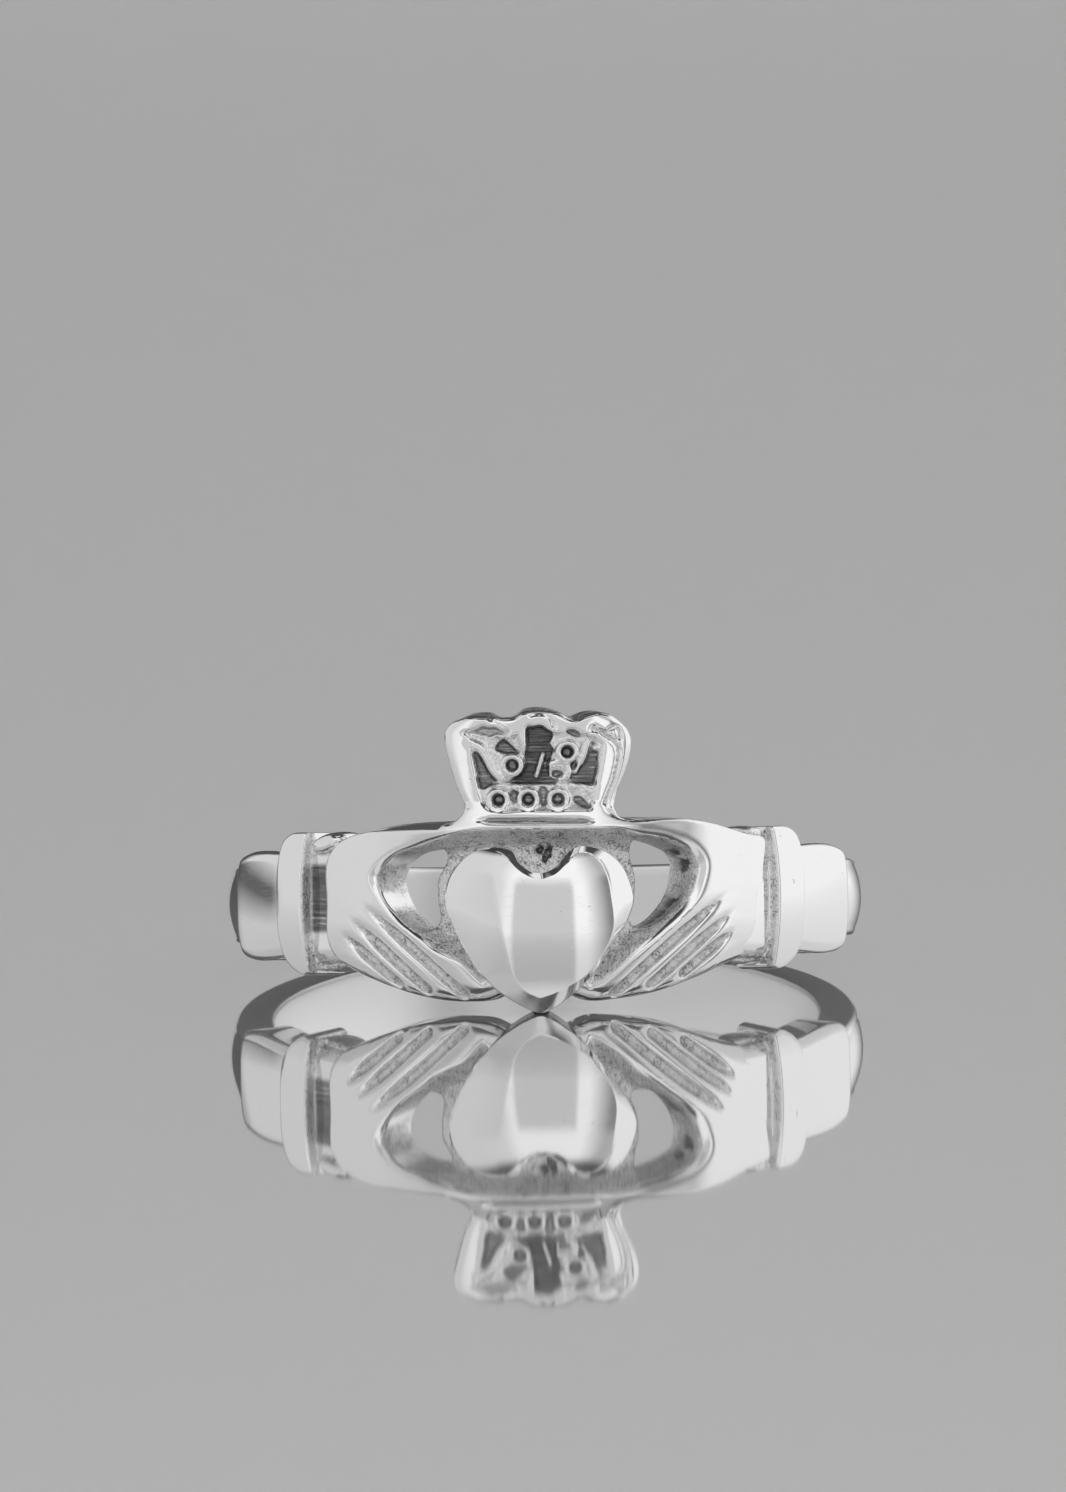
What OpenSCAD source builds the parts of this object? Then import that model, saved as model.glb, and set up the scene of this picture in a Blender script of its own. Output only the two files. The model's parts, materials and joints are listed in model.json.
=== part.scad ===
// Claddagh ring: two cuffed hands hold a crowned heart, cast in one piece with the band.
// The ring is modelled about its finger axis and then leaned back to how it rests by itself,
// on the tip of the heart in front and on the lower edge of the band behind. Front faces -Y.

/* [Finger hole] */
// Radius of the hole for the finger
bore_r = 8.65; // [7:0.05:11]

/* [Band] */
// Height of the band along the finger
band_h = 2.48; // [2:0.02:3]
// Thickness of the band at its middle
band_t = 1.45; // [1:0.05:2]
// How far the outer face of the band falls from its middle to its edges
band_dome = 0.3; // [0.1:0.02:0.5]

/* [Sleeves] */
// Height of the sleeve between band and cuff
sleeve_h = 3.3; // [2.6:0.05:4]
// Thickness of the sleeve
sleeve_t = 1.7; // [1.2:0.05:2.2]
// Fall of the sleeve's outer face to its edges
sleeve_dome = 0.35; // [0.1:0.05:0.6]
// Angle from the front at which the sleeve ends and the plain band begins
sleeve_end = 70; // [62:1:85]

/* [Cuffs] */
// Height of the cuff
cuff_h = 4.5; // [3.8:0.05:5.2]
// Thickness of the cuff
cuff_t = 2.05; // [1.5:0.05:2.6]
// Fall of the cuff's outer face to its edges
cuff_dome = 0.3; // [0.1:0.05:0.6]
// Angle from the front at which the cuff ends and the sleeve begins
cuff_end = 51; // [48:0.5:56]
// Angle that the cuff takes up round the ring
cuff_arc = 6.5; // [4:0.5:9]
// Angle of the narrow neck between the cuff and the face of the hand
neck_arc = 6; // [2:0.5:8]
// Thickness of the wall at the neck
neck_t = 1.45; // [1.2:0.05:2]
// Height of the frill inside the cuff, where it stands past the wrist
frill_h = 4.3; // [3.4:0.05:5]
// Angle that the frill takes up
frill_arc = 7; // [4:0.5:9]
// Thickness of the frill
frill_t = 1.35; // [1:0.05:1.8]

/* [Hands] */
// How far the hands rise above the middle of the band
hand_rise = 2.4; // [1.8:0.05:3]
// How far the fingers drop below the middle of the band
hand_drop = 3.25; // [2.6:0.05:3.6]
// Thickness of the hands at their middle
hand_t = 1.85; // [1.4:0.05:2.4]
// Fall of the hands' outer face from its crest to the fingertips
hand_dome = 0.7; // [0.3:0.05:1]
// How far that crest lies above the middle of the band
hand_crest = 0.8; // [-0.4:0.1:1.4]
// Height of the lower edge of the wrist, as a distance below the middle of the band
wrist_drop = 1.75; // [1.4:0.05:2.1]
// Width of the grooves between the fingers
finger_groove_w = 0.34; // [0.2:0.02:0.5]
// Depth of the grooves between the fingers
finger_groove_d = 0.3; // [0.1:0.02:0.5]

/* [Openings beside the heart] */
// Distance from the heart's middle line to the far end of the sunk panel in each hand
panel_reach = 5.2; // [4.6:0.05:5.6]
// How far the sunk panel rises above the middle of the band
panel_rise = 1.95; // [1.5:0.05:2.1]
// Thickness of the metal under the sunk panel
panel_t = 1.0; // [0.6:0.05:1.4]
// Distance from the heart's middle line to the far end of the pierced opening
hole_reach = 4.2; // [3.8:0.05:4.6]

/* [Heart] */
// Width of the heart
heart_w = 5.9; // [5:0.1:6.6]
// Height of the heart
heart_h = 5.15; // [4.4:0.05:6]
// How far the tip of the heart drops below the middle of the band
tip_drop = 3.65; // [3.3:0.05:4.2]
// Thickness of the heart at the top of its dome
heart_t = 2.65; // [2.2:0.05:3.2]
// Radius of the ball that shapes the dome
heart_ball_r = 5; // [4.2:0.1:8]
// Length of the lower edge of the tip, from the front to where its underside rises
tip_edge = 0.3; // [0.1:0.05:0.6]
// Angle at which the underside of the tip rises towards the finger
tip_relief = 14; // [10:1:25]

/* [Crown] */
// Width of the crown at its lobes
crown_w = 5.86; // [4.8:0.1:6.4]
// How far the top of the crown rises above the middle of the band
crown_rise = 5.88; // [5:0.05:6.6]
// Distance from the finger hole to the face of the crown
crown_t = 1.95; // [1.5:0.05:2.4]
// How far the back of the crown stands off the finger hole
crown_back = 0.35; // [0.1:0.05:0.8]
// Depth of the sunk field inside the frame
crown_field_d = 0.5; // [0.2:0.05:0.8]
// Outer radius of the beads in the crown
bead_r = 0.36; // [0.25:0.01:0.45]
// Radius of the drilled centre of each bead
bead_hole_r = 0.18; // [0.1:0.01:0.22]
// Height of the beads above the sunk field
bead_h = 0.38; // [0.2:0.02:0.5]
// Height of the polished rail under the crown
rail_h = 0.5; // [0.3:0.02:0.8]
// Height of the sunk line along the rail
rail_line_h = 0.2; // [0.1:0.02:0.26]
// Depth of that sunk line
rail_line_d = 0.15; // [0.05:0.01:0.25]
// Length of that sunk line
rail_line_w = 3.3; // [2:0.1:4]

/* [Hidden] */
$fn = 96;

// Cuts and joined forms run this far past the faces that they meet
past = 0.4;
// Stretches of the ring run into each other by this angle
overlap = 1;

// Radii of the faces that the pieces share
band_r = bore_r + band_t;
band_edge_r = band_r - band_dome;
cuff_start = cuff_end - cuff_arc;
wrist_end = cuff_start - neck_arc;
hand_r = bore_r + hand_t;
wrist_u = hand_r * sin(wrist_end);
panel_r = bore_r + panel_t;

// Arc of the hands' outer face, and its radius about the finger at the rail over the heart
hand_arc_r = (pow(hand_drop + hand_crest, 2) + pow(hand_dome, 2)) / (2 * hand_dome);
rail_middle_a = hand_rise - rail_h / 2;
rail_face_r = hand_r - hand_arc_r + sqrt(pow(hand_arc_r, 2) - pow(rail_middle_a - hand_crest, 2));

heart_top_r = bore_r + heart_t;
crown_r = bore_r + crown_t;
crown_field_r = crown_r - crown_field_d;
reach = heart_top_r + past;
whole_height = 2 * (crown_rise + past);

// The dome's ball, and how far from the axis the tip of the heart rests on the surface
heart_middle_a = heart_h * 0.55 - tip_drop;
dome_middle_r = heart_top_r - heart_ball_r;
tip_r = dome_middle_r + sqrt(pow(heart_ball_r, 2) - pow(tip_drop + heart_middle_a, 2)) - tip_edge;

// How the ring rests: it leans back until heart tip and band edge touch one plane
lean = atan((tip_drop - band_h / 2) / (tip_r + band_edge_r));
rest_height = band_edge_r * sin(lean) + band_h / 2 * cos(lean);
front_y = -heart_top_r * cos(lean) + heart_middle_a * sin(lean);
rest_back = -(front_y + band_r * cos(lean)) / 2;

// Upper edge of a hand from the heart to the wrist: [share of wrist_u, share of hand_rise]
hand_upper = [[0, 1], [0.46, 1], [0.6, 0.985], [0.72, 0.965], [0.82, 0.92], [0.96, 0.82], [1, 0.79]];
// Lower edge of a hand from the wrist to the heart: [share of wrist_u, share of hand_drop]
hand_lower = [[1, 0.61], [0.89, 0.68], [0.77, 0.79], [0.64, 0.9], [0.5, 0.97], [0.36, 0.995],
              [0.23, 0.985], [0.15, 0.95], [0, 0.9]];
// Sunk panel beside the heart: [share of panel_reach, share of panel_rise or, below, of hand_drop]
panel_upper = [[0, 1], [0.58, 0.99], [0.76, 0.95], [0.9, 0.78], [0.98, 0.55], [1, 0.3]];
panel_lower = [[0.96, 0], [0.88, 0.19], [0.76, 0.37], [0.65, 0.52], [0.57, 0.59], [0.48, 0.67],
               [0.33, 0.88], [0, 0.6]];
// Pierced opening: [share of hole_reach, share of panel_rise or, below, of hand_drop]
hole_upper = [[0.3, 0.84], [0.66, 0.82], [0.86, 0.75], [0.965, 0.56], [1, 0.33]];
hole_lower = [[0.96, 0.01], [0.83, 0.19], [0.7, 0.28], [0.3, 0.3]];
// Grooves between the fingers: [share of wrist_u, share of hand_drop] at the knuckle and at the tip
finger_grooves = [[[0.84, 0.04], [0.39, 0.9]], [[0.9, 0.18], [0.55, 0.86]], [[0.92, 0.33], [0.7, 0.77]]];
// Half of the heart's edge from notch to tip: [share of half the width, share of the height]
heart_half = [[0, 0.843], [0.05, 0.885], [0.17, 0.965], [0.42, 1], [0.66, 0.972], [0.864, 0.893],
              [0.975, 0.785], [1, 0.7], [0.95, 0.563], [0.807, 0.404], [0.644, 0.272],
              [0.475, 0.153], [0.26, 0.06], [0.07, 0.006], [0, 0]];
// Half of the crown's outline from its middle to its foot: [share of half the width, share of crown_rise]
crown_half = [[0, 1], [0.17, 0.985], [0.34, 0.953], [0.45, 0.963], [0.6, 0.975], [0.78, 0.945],
              [0.93, 0.885], [1, 0.825], [0.975, 0.74], [0.9, 0.63], [0.81, 0.5], [0.86, 0.43], [0.9, 0.37],
              [0, 0.37]];
// Sunk field inside the crown's frame, in the same shares
field_half = [[0, 0.9], [0.13, 0.9], [0.22, 0.84], [0.4, 0.89], [0.7, 0.87], [0.66, 0.76],
              [0.67, 0.62], [0.66, 0.46], [0, 0.46]];
// Beads in the crown: [share of half the width, share of crown_rise]
beads = [[-0.42, 0.507], [-0.11, 0.504], [0.2, 0.504], [0.47, 0.5], [-0.26, 0.685], [0.31, 0.755]];
// Small studs between the beads, in the same shares, and their share of the bead's radius
studs = [[-0.235, 0.575], [0.37, 0.585]];
stud_share = 0.42;
// Raised petals that sweep from the frame to the beads: [share from, rise from, share to, rise to]
petals = [[-0.66, 0.84, -0.36, 0.66], [-0.6, 0.88, -0.18, 0.79], [0.16, 0.83, 0.5, 0.87],
          [0.36, 0.62, 0.16, 0.7], [0.52, 0.81, 0.44, 0.66], [0.1, 0.71, 0.02, 0.62],
          [-0.24, 0.95, -0.19, 0.76]];
// Width of a petal, and its height as a share of the field's depth
petal_w = 0.2;
petal_share = 0.75;
// Points between two rows of the heart's table
heart_steps = 2;

function scaled(rows, width, height) = [for (row = rows) [row[0] * width, row[1] * height]];
function mirrored(points) = [for (i = [len(points) - 1:-1:0]) [-points[i][0], points[i][1]]];
function inner_rows(points) = [for (i = [1:len(points) - 2]) points[i]];
function whole(half) = concat(half, mirrored(inner_rows(half)));

// One point on a smooth curve through four neighbouring rows
function curve_point(a, b, c, d, t) =
    0.5 * (2 * b + (c - a) * t + (2 * a - 5 * b + 4 * c - d) * t * t + (3 * b - a - 3 * c + d) * t * t * t);
function smooth_half(rows, steps) = [
    for (i = [0:len(rows) - 2]) for (s = [0:steps - 1])
        curve_point(rows[max(i - 1, 0)], rows[i], rows[i + 1], rows[min(i + 2, len(rows) - 1)], s / steps),
    rows[len(rows) - 1]
];

// Outline of the heart seen from the front
heart_edge = [for (p = smooth_half(heart_half, heart_steps)) [p[0] * heart_w / 2, p[1] * heart_h - tip_drop]];
heart_outline = whole(heart_edge);

// Cross-section of a ring piece: flat on the finger, a shallow arc outside
module ring_section(height, thickness, dome) {
    arc_r = (pow(height / 2, 2) + dome * dome) / (2 * dome);
    intersection() {
        translate([bore_r - past, -height / 2]) square([thickness + past, height]);
        translate([bore_r + thickness - arc_r, 0]) circle(r = arc_r);
    }
}

// The stretch of that section between two angles, counted from the front to the right
module ring_stretch(from, to, height, thickness, dome)
    rotate_extrude(start = from - 90, angle = to - from) ring_section(height, thickness, dome);

// A front view outline pushed straight back through the front wall of the ring
module front_prism(points)
    rotate([90, 0, 0]) linear_extrude(height = reach) polygon(points);

module both_sides() {
    children();
    mirror([1, 0, 0]) children();
}

module shank()
    ring_stretch(sleeve_end - overlap, 360 + overlap - sleeve_end, band_h, band_t, band_dome);

module sleeve()
    ring_stretch(cuff_end - overlap, sleeve_end, sleeve_h, sleeve_t, sleeve_dome);

module cuff() {
    ring_stretch(cuff_start, cuff_end, cuff_h, cuff_t, cuff_dome);
    ring_stretch(wrist_end - overlap, cuff_start + overlap, 2 * wrist_drop, neck_t, cuff_dome);
    ring_stretch(cuff_start - frill_arc, cuff_start + overlap, frill_h, frill_t, cuff_dome);
}

// The curved wall that the hands are cut from, or with an inset the same wall with a lower outer face
module hand_wall(inset = 0)
    rotate_extrude() intersection() {
        translate([bore_r - past, -hand_drop]) square([hand_t + past, hand_rise + hand_drop]);
        translate([hand_r - inset - hand_arc_r, hand_crest]) circle(r = hand_arc_r);
    }

// Both hands and the rail over the heart, as one curved plate
module hand_plate() {
    upper = scaled(hand_upper, wrist_u, hand_rise);
    lower = scaled(hand_lower, wrist_u, -hand_drop);
    intersection() {
        front_prism(whole(concat(upper, lower)));
        hand_wall();
    }
}

// The sunk panels beside and above the heart
module panels() {
    half = concat(scaled(panel_upper, panel_reach, panel_rise), scaled(panel_lower, panel_reach, -hand_drop));
    difference() {
        front_prism(whole(half));
        cylinder(r = panel_r, h = whole_height, center = true);
    }
}

// The pierced opening between a hand and the heart
module opening()
    front_prism(concat(scaled(hole_upper, hole_reach, panel_rise), scaled(hole_lower, hole_reach, -hand_drop)));

// A groove between two fingers, round at both ends and of even depth
module finger_groove(ends) {
    from = [ends[0][0] * wrist_u, -ends[0][1] * hand_drop];
    to = [ends[1][0] * wrist_u, -ends[1][1] * hand_drop];
    way = to - from;
    difference() {
        rotate([90, 0, 0]) linear_extrude(height = reach)
            translate(from) rotate(atan2(way[1], way[0])) union() {
                translate([0, -finger_groove_w / 2]) square([norm(way), finger_groove_w]);
                circle(d = finger_groove_w);
                translate([norm(way), 0]) circle(d = finger_groove_w);
            }
        hand_wall(finger_groove_d);
    }
}

// The heart: its outline under a ball-shaped dome, relieved under the tip towards the finger
module heart()
    difference() {
        intersection() {
            front_prism(heart_outline);
            translate([0, -dome_middle_r, heart_middle_a]) sphere(r = heart_ball_r);
        }
        translate([0, -tip_r, -tip_drop]) rotate([tip_relief, 0, 0])
            translate([-heart_w / 2, 0, -heart_h]) cube([heart_w, reach, heart_h]);
    }

// Points given as shares of the crown's half width and rise
function on_crown(share) = [share[0] * crown_w / 2, share[1] * crown_rise];

module crown_layer(half, from_r, to_r) {
    difference() {
        intersection() {
            front_prism(whole([for (row = half) on_crown(row)]));
            cylinder(r = to_r, h = whole_height, center = true);
        }
        cylinder(r = from_r, h = whole_height + past, center = true);
    }
}

// A short post that stands out of the crown's field, seen from the front at these shares
module crown_post(share, r, height) {
    at = on_crown(share);
    out = sqrt(pow(crown_field_r, 2) - at[0] * at[0]);
    translate([at[0], -out + past, at[1]]) rotate([90, 0, 0]) cylinder(r = r, h = height + past);
}

// A raised strip between two points of the crown's field
module petal(row) {
    from = on_crown([row[0], row[1]]);
    to = on_crown([row[2], row[3]]);
    way = to - from;
    out = sqrt(pow(crown_field_r, 2) - pow((from[0] + to[0]) / 2, 2));
    rise = crown_field_d * petal_share;
    translate([from[0], -out - rise, from[1]])
        rotate([0, -atan2(way[1], way[0]), 0])
            translate([0, 0, -petal_w / 2]) cube([norm(way), rise + past, petal_w]);
}

module crown() {
    difference() {
        crown_layer(crown_half, bore_r + crown_back, crown_r);
        crown_layer(field_half, crown_field_r, crown_r + past);
    }
    for (row = petals) petal(row);
    for (share = studs) crown_post(share, bead_r * stud_share, bead_h);
    for (share = beads) crown_post(share, bead_r, bead_h);
}

// Drilled centres of the beads
module bead_drills()
    for (share = beads) {
        at = on_crown(share);
        translate([at[0], 0, at[1]]) rotate([90, 0, 0])
            difference() {
                cylinder(r = bead_hole_r, h = crown_r + past);
                cylinder(r = bead_hole_r + past, h = sqrt(pow(crown_field_r, 2) - at[0] * at[0]));
            }
    }

// The sunk line along the rail under the crown
module rail_line()
    translate([0, 0, rail_middle_a])
        difference() {
            rotate([90, 0, 0]) linear_extrude(height = reach)
                square([rail_line_w, rail_line_h], center = true);
            cylinder(r = rail_face_r - rail_line_d, h = rail_h, center = true);
        }

// Leans the ring back and sets it down with its middle over the origin
module at_rest()
    translate([0, rest_back, rest_height]) rotate([-lean, 0, 0]) children();

module ring()
    color("silver") at_rest() difference() {
        union() {
            shank();
            both_sides() sleeve();
            both_sides() cuff();
            difference() {
                hand_plate();
                panels();
                both_sides() opening();
                both_sides() for (ends = finger_grooves) finger_groove(ends);
            }
            crown();
            heart();
        }
        bead_drills();
        rail_line();
        cylinder(r = bore_r, h = whole_height, center = true);
    }

ring();
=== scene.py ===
"""A silver claddagh ring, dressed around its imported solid: band, sleeves, cuffs, hands, heart and crown."""

import json
import logging
import math
from dataclasses import dataclass
from enum import Enum

import bpy
import numpy as np
from mathutils import Matrix, Vector, noise


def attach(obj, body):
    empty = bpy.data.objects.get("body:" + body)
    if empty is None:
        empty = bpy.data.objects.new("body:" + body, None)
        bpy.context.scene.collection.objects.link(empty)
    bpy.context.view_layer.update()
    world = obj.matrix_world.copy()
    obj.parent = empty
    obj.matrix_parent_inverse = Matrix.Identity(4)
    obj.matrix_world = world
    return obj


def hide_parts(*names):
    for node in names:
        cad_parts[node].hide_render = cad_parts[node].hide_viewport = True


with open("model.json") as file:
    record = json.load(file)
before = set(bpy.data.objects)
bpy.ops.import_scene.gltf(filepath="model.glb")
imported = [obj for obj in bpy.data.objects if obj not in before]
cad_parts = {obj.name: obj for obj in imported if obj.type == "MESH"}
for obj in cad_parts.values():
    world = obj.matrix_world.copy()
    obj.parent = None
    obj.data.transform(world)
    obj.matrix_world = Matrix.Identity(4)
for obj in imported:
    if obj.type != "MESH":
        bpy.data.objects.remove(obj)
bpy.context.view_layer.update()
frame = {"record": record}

log = logging.getLogger("claddagh ring")
Rows = list[tuple[float, float]]
Spots = tuple[tuple[float, ...], ...]
Section = tuple[np.ndarray, "np.ndarray | float"]
MM = 0.001
SKIN_PER_MM = 5.0


# ---- lines and distances in the flat, in millimetres


def smooth_line(rows: Rows, count: int, closed: bool = True) -> np.ndarray:
    """Runs an even, smooth line through a few points.

    Args:
        rows: the points; two equal points in a row keep a corner.
        count: how many points the line gets.
        closed: whether it comes back to its first point.

    Returns:
        The line's points, anticlockwise when it is closed.
    """
    points = np.array(rows, float)
    total = len(points)
    along = np.linspace(0, 1, 12, endpoint=False)[:, None]
    pieces = []
    for i in range(total if closed else total - 1):
        before = points[i - 1] if closed or i else points[i]
        start, end = points[i], points[(i + 1) % total]
        after = points[(i + 2) % total] if closed or i + 2 < total else end
        chord = np.linalg.norm(end - start)
        if chord < 1e-9:
            continue
        lead = tail = unit(end - start)
        if np.linalg.norm(start - before) > 1e-9:
            lead = (unit(start - before) + lead) / 2
        if np.linalg.norm(after - end) > 1e-9:
            tail = (tail + unit(after - end)) / 2
        t2, t3 = along**2, along**3
        pieces.append(
            (2 * t3 - 3 * t2 + 1) * start
            + (t3 - 2 * t2 + along) * chord * lead
            + (3 * t2 - 2 * t3) * end
            + (t3 - t2) * chord * tail
        )
    line = np.vstack(pieces + ([] if closed else [points[-1:]]))
    loop = np.vstack([line, line[:1]]) if closed else line
    walked = np.r_[0, np.cumsum(np.linalg.norm(np.diff(loop, axis=0), axis=1))]
    even = np.linspace(0, walked[-1], count, endpoint=not closed)
    line = np.c_[np.interp(even, walked, loop[:, 0]), np.interp(even, walked, loop[:, 1])]
    if closed:
        ahead = np.roll(line, -1, 0)
        if (line[:, 0] * ahead[:, 1] - ahead[:, 0] * line[:, 1]).sum() < 0:
            line = np.roll(line[::-1], 1, 0)
    return line


def unit(step: np.ndarray) -> np.ndarray:
    """A step of length one in the same direction."""
    return step / max(np.linalg.norm(step), 1e-12)


def outward(line: np.ndarray) -> np.ndarray:
    """Outward normals of a closed anticlockwise line.

    Args:
        line: the line's points.

    Returns:
        One normal of length one for each point.
    """
    step = np.roll(line, -1, 0) - np.roll(line, 1, 0)
    step /= np.linalg.norm(step, axis=1)[:, None] + 1e-12
    return np.c_[step[:, 1], -step[:, 0]]


def inset(line: np.ndarray, by: "np.ndarray | float") -> np.ndarray:
    """The closed line moved inwards by a distance, one for all points or one for each."""
    return line - outward(line) * np.broadcast_to(by, len(line))[:, None]


def ease(low: float, high: float, value: np.ndarray) -> np.ndarray:
    """Turns smoothly from 0 at low to 1 at high."""
    t = np.clip((value - low) / (high - low), 0, 1)
    return t * t * (3 - 2 * t)


def line_distance(points: np.ndarray, line: np.ndarray, closed: bool = False) -> tuple[np.ndarray, np.ndarray]:
    """Distance from points to a line, taken a few thousand points at a time.

    Args:
        points: places in the flat.
        line: the line's points.
        closed: whether its last point joins its first.

    Returns:
        The distances, and the nearest place along the line as a share of its length.
    """
    start = line if closed else line[:-1]
    step = (np.roll(line, -1, 0) if closed else line[1:]) - start
    length = np.linalg.norm(step, axis=1)
    walked = np.r_[0, np.cumsum(length)]
    best = np.empty(len(points))
    share = np.empty(len(points))
    for first in range(0, len(points), 4096):
        batch = slice(first, first + 4096)
        q = points[batch, None] - start[None]
        t = np.clip((q * step).sum(2) / (length**2 + 1e-18), 0, 1)
        gap = np.linalg.norm(q - t[..., None] * step, axis=2)
        near = gap.argmin(1)
        each = np.arange(len(near))
        best[batch] = gap[each, near]
        share[batch] = (walked[near] + t[each, near] * length[near]) / walked[-1]
    return best, share


def depth_inside(points: np.ndarray, line: np.ndarray, margin: float = 0.6) -> np.ndarray:
    """Distance from a closed line, positive inside it.

    Args:
        points: places in the flat.
        line: the closed line's points.
        margin: places further outside than this all count as this far.

    Returns:
        The distance of each place, never under minus the margin.
    """
    depth = np.full(len(points), -margin)
    low, high = line.min(0) - margin, line.max(0) + margin
    near = np.where(np.all((points > low) & (points < high), axis=1))[0]
    if len(near) == 0:
        return depth
    gap, _ = line_distance(points[near], line, closed=True)
    inside = np.zeros(len(near), bool)
    ahead = np.roll(line, -1, 0)
    for (x0, y0), (x1, y1) in zip(line, ahead):
        if y0 != y1:
            crosses = (y0 > points[near, 1]) != (y1 > points[near, 1])
            inside ^= crosses & (points[near, 0] < (x1 - x0) * (points[near, 1] - y0) / (y1 - y0) + x0)
    depth[near] = np.where(inside, gap, -gap)
    return np.maximum(depth, -margin)


def cast_noise(points: np.ndarray, per_mm: float, seed: float) -> np.ndarray:
    """Uneven casting skin, the same in every run.

    Args:
        points: places in mm.
        per_mm: how fine the unevenness is.
        seed: shifts it, so that two pieces don't share it.

    Returns:
        A value of about -1 to 1 for each place.
    """
    spots = points * per_mm + (seed, 0, 0)
    return np.array([noise.noise(Vector(spot)) + 0.5 * noise.noise(Vector(spot * 2.1)) for spot in spots])


# ---- the bench: how pieces are made


def clear_selection() -> None:
    """Nothing is selected and Blender is in object mode."""
    active = bpy.context.view_layer.objects.active
    if active is not None and active.mode != "OBJECT":
        bpy.ops.object.mode_set(mode="OBJECT")
    bpy.ops.object.select_all(action="DESELECT")


def pick(*pieces: bpy.types.Object) -> bpy.types.Object:
    """Selects these pieces alone and makes the first one active.

    Args:
        pieces: what to select.

    Returns:
        The active piece.
    """
    clear_selection()
    for piece in pieces:
        piece.select_set(True)
    bpy.context.view_layer.objects.active = pieces[0]
    return pieces[0]


def named(name: str) -> bpy.types.Object:
    """Names the piece that an operator has just added.

    Args:
        name: the name of the object and its mesh.

    Returns:
        The piece.
    """
    piece = bpy.context.object
    piece.name = piece.data.name = name
    return piece


def points_of(piece: bpy.types.Object) -> np.ndarray:
    """Reads a piece's points.

    Args:
        piece: a mesh object.

    Returns:
        Its points as rows of three numbers.
    """
    flat = np.empty(len(piece.data.vertices) * 3)
    piece.data.vertices.foreach_get("co", flat)
    return flat.reshape(-1, 3)


def set_points(piece: bpy.types.Object, points: np.ndarray) -> None:
    """Moves the piece's points to these places."""
    piece.data.vertices.foreach_set("co", points.reshape(-1))
    piece.data.update()


def faces_out(piece: bpy.types.Object) -> None:
    """Turns every face of a closed piece outwards.

    Args:
        piece: the piece.
    """
    pick(piece)
    bpy.ops.object.mode_set(mode="EDIT")
    bpy.ops.mesh.select_all(action="SELECT")
    bpy.ops.mesh.normals_make_consistent(inside=False)
    bpy.ops.object.mode_set(mode="OBJECT")


def loft(name: str, sections: list[Section]) -> bpy.types.Object:
    """A closed form through stacked outlines: a filled circle is extruded from one to the next.

    Args:
        name: the piece's name.
        sections: outlines with equally many points, each with its height or one height a point.

    Returns:
        The piece, with its outlines in x and y and its heights in z.
    """
    count = len(sections[0][0])
    clear_selection()
    bpy.ops.mesh.primitive_circle_add(vertices=count, radius=1, fill_type="NGON")
    piece = named(name)
    rings = [np.c_[line, np.broadcast_to(height, count)] for line, height in sections]
    set_points(piece, rings[0])
    for number in range(1, len(rings)):
        bpy.ops.object.mode_set(mode="EDIT")
        if number == 1:
            bpy.ops.mesh.select_all(action="SELECT")
        bpy.ops.mesh.extrude_region_move(TRANSFORM_OT_translate={"value": (0, 0, 0.5)})
        bpy.ops.object.mode_set(mode="OBJECT")
        points = points_of(piece)
        chosen = np.array([v.index for v in piece.data.vertices if v.select])
        below = rings[number - 1][:, :2]
        order = np.abs(points[chosen][:, None, :2] - below[None]).sum(2).argmin(1)
        points[chosen] = rings[number][order]
        set_points(piece, points)
    faces_out(piece)
    return piece


def pebble(name: str, at: tuple[float, ...], size: tuple[float, ...], turn: float) -> bpy.types.Object:
    """A rounded lump with flattened ends.

    Args:
        name: its name.
        at: its middle.
        size: its half sizes.
        turn: how far it is turned about its third axis, in radians.

    Returns:
        The lump.
    """
    clear_selection()
    bpy.ops.mesh.primitive_uv_sphere_add(segments=40, ring_count=24, radius=1)
    piece = named(name)
    p = points_of(piece)
    p[:, 2] = np.sign(p[:, 2]) * np.sqrt(np.clip(1 - (p[:, 0] ** 2 + p[:, 1] ** 2) ** 2, 0, 1))
    p *= size
    c, s = math.cos(turn), math.sin(turn)
    set_points(piece, np.c_[p[:, 0] * c - p[:, 1] * s, p[:, 0] * s + p[:, 1] * c, p[:, 2]] + at)
    return piece


def finish_with(piece: bpy.types.Object, kind: str, **settings: object) -> None:
    """Adds a modifier and applies it.

    Args:
        piece: the piece.
        kind: the modifier's type.
        settings: its properties.
    """
    pick(piece)
    modifier = piece.modifiers.new(kind.lower(), kind)
    for key, value in settings.items():
        setattr(modifier, key, value)
    bpy.ops.object.modifier_apply(modifier=modifier.name)


def cut_out(piece: bpy.types.Object, tools: list[bpy.types.Object]) -> None:
    """Takes the space of some tools out of a piece and removes the tools.

    Args:
        piece: the piece.
        tools: closed forms.
    """
    for tool in tools:
        finish_with(piece, "BOOLEAN", operation="DIFFERENCE", solver="EXACT", object=tool)
    for tool in tools:
        bpy.data.objects.remove(tool)


def weld(name: str, parts: list[bpy.types.Object], grid: float, passes: int) -> bpy.types.Object:
    """Melts parts that run into each other into one closed skin.

    Args:
        name: the welded piece's name.
        parts: what goes into it.
        grid: the skin's grid size in mm.
        passes: how often its edges are eased.

    Returns:
        The welded piece.
    """
    pick(*parts)
    if len(parts) > 1:
        bpy.ops.object.join()
    piece = named(name)
    finish_with(piece, "REMESH", mode="VOXEL", voxel_size=grid, adaptivity=0, use_smooth_shade=True)
    if passes:
        finish_with(piece, "SMOOTH", factor=0.5, iterations=passes)
    return piece


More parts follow.
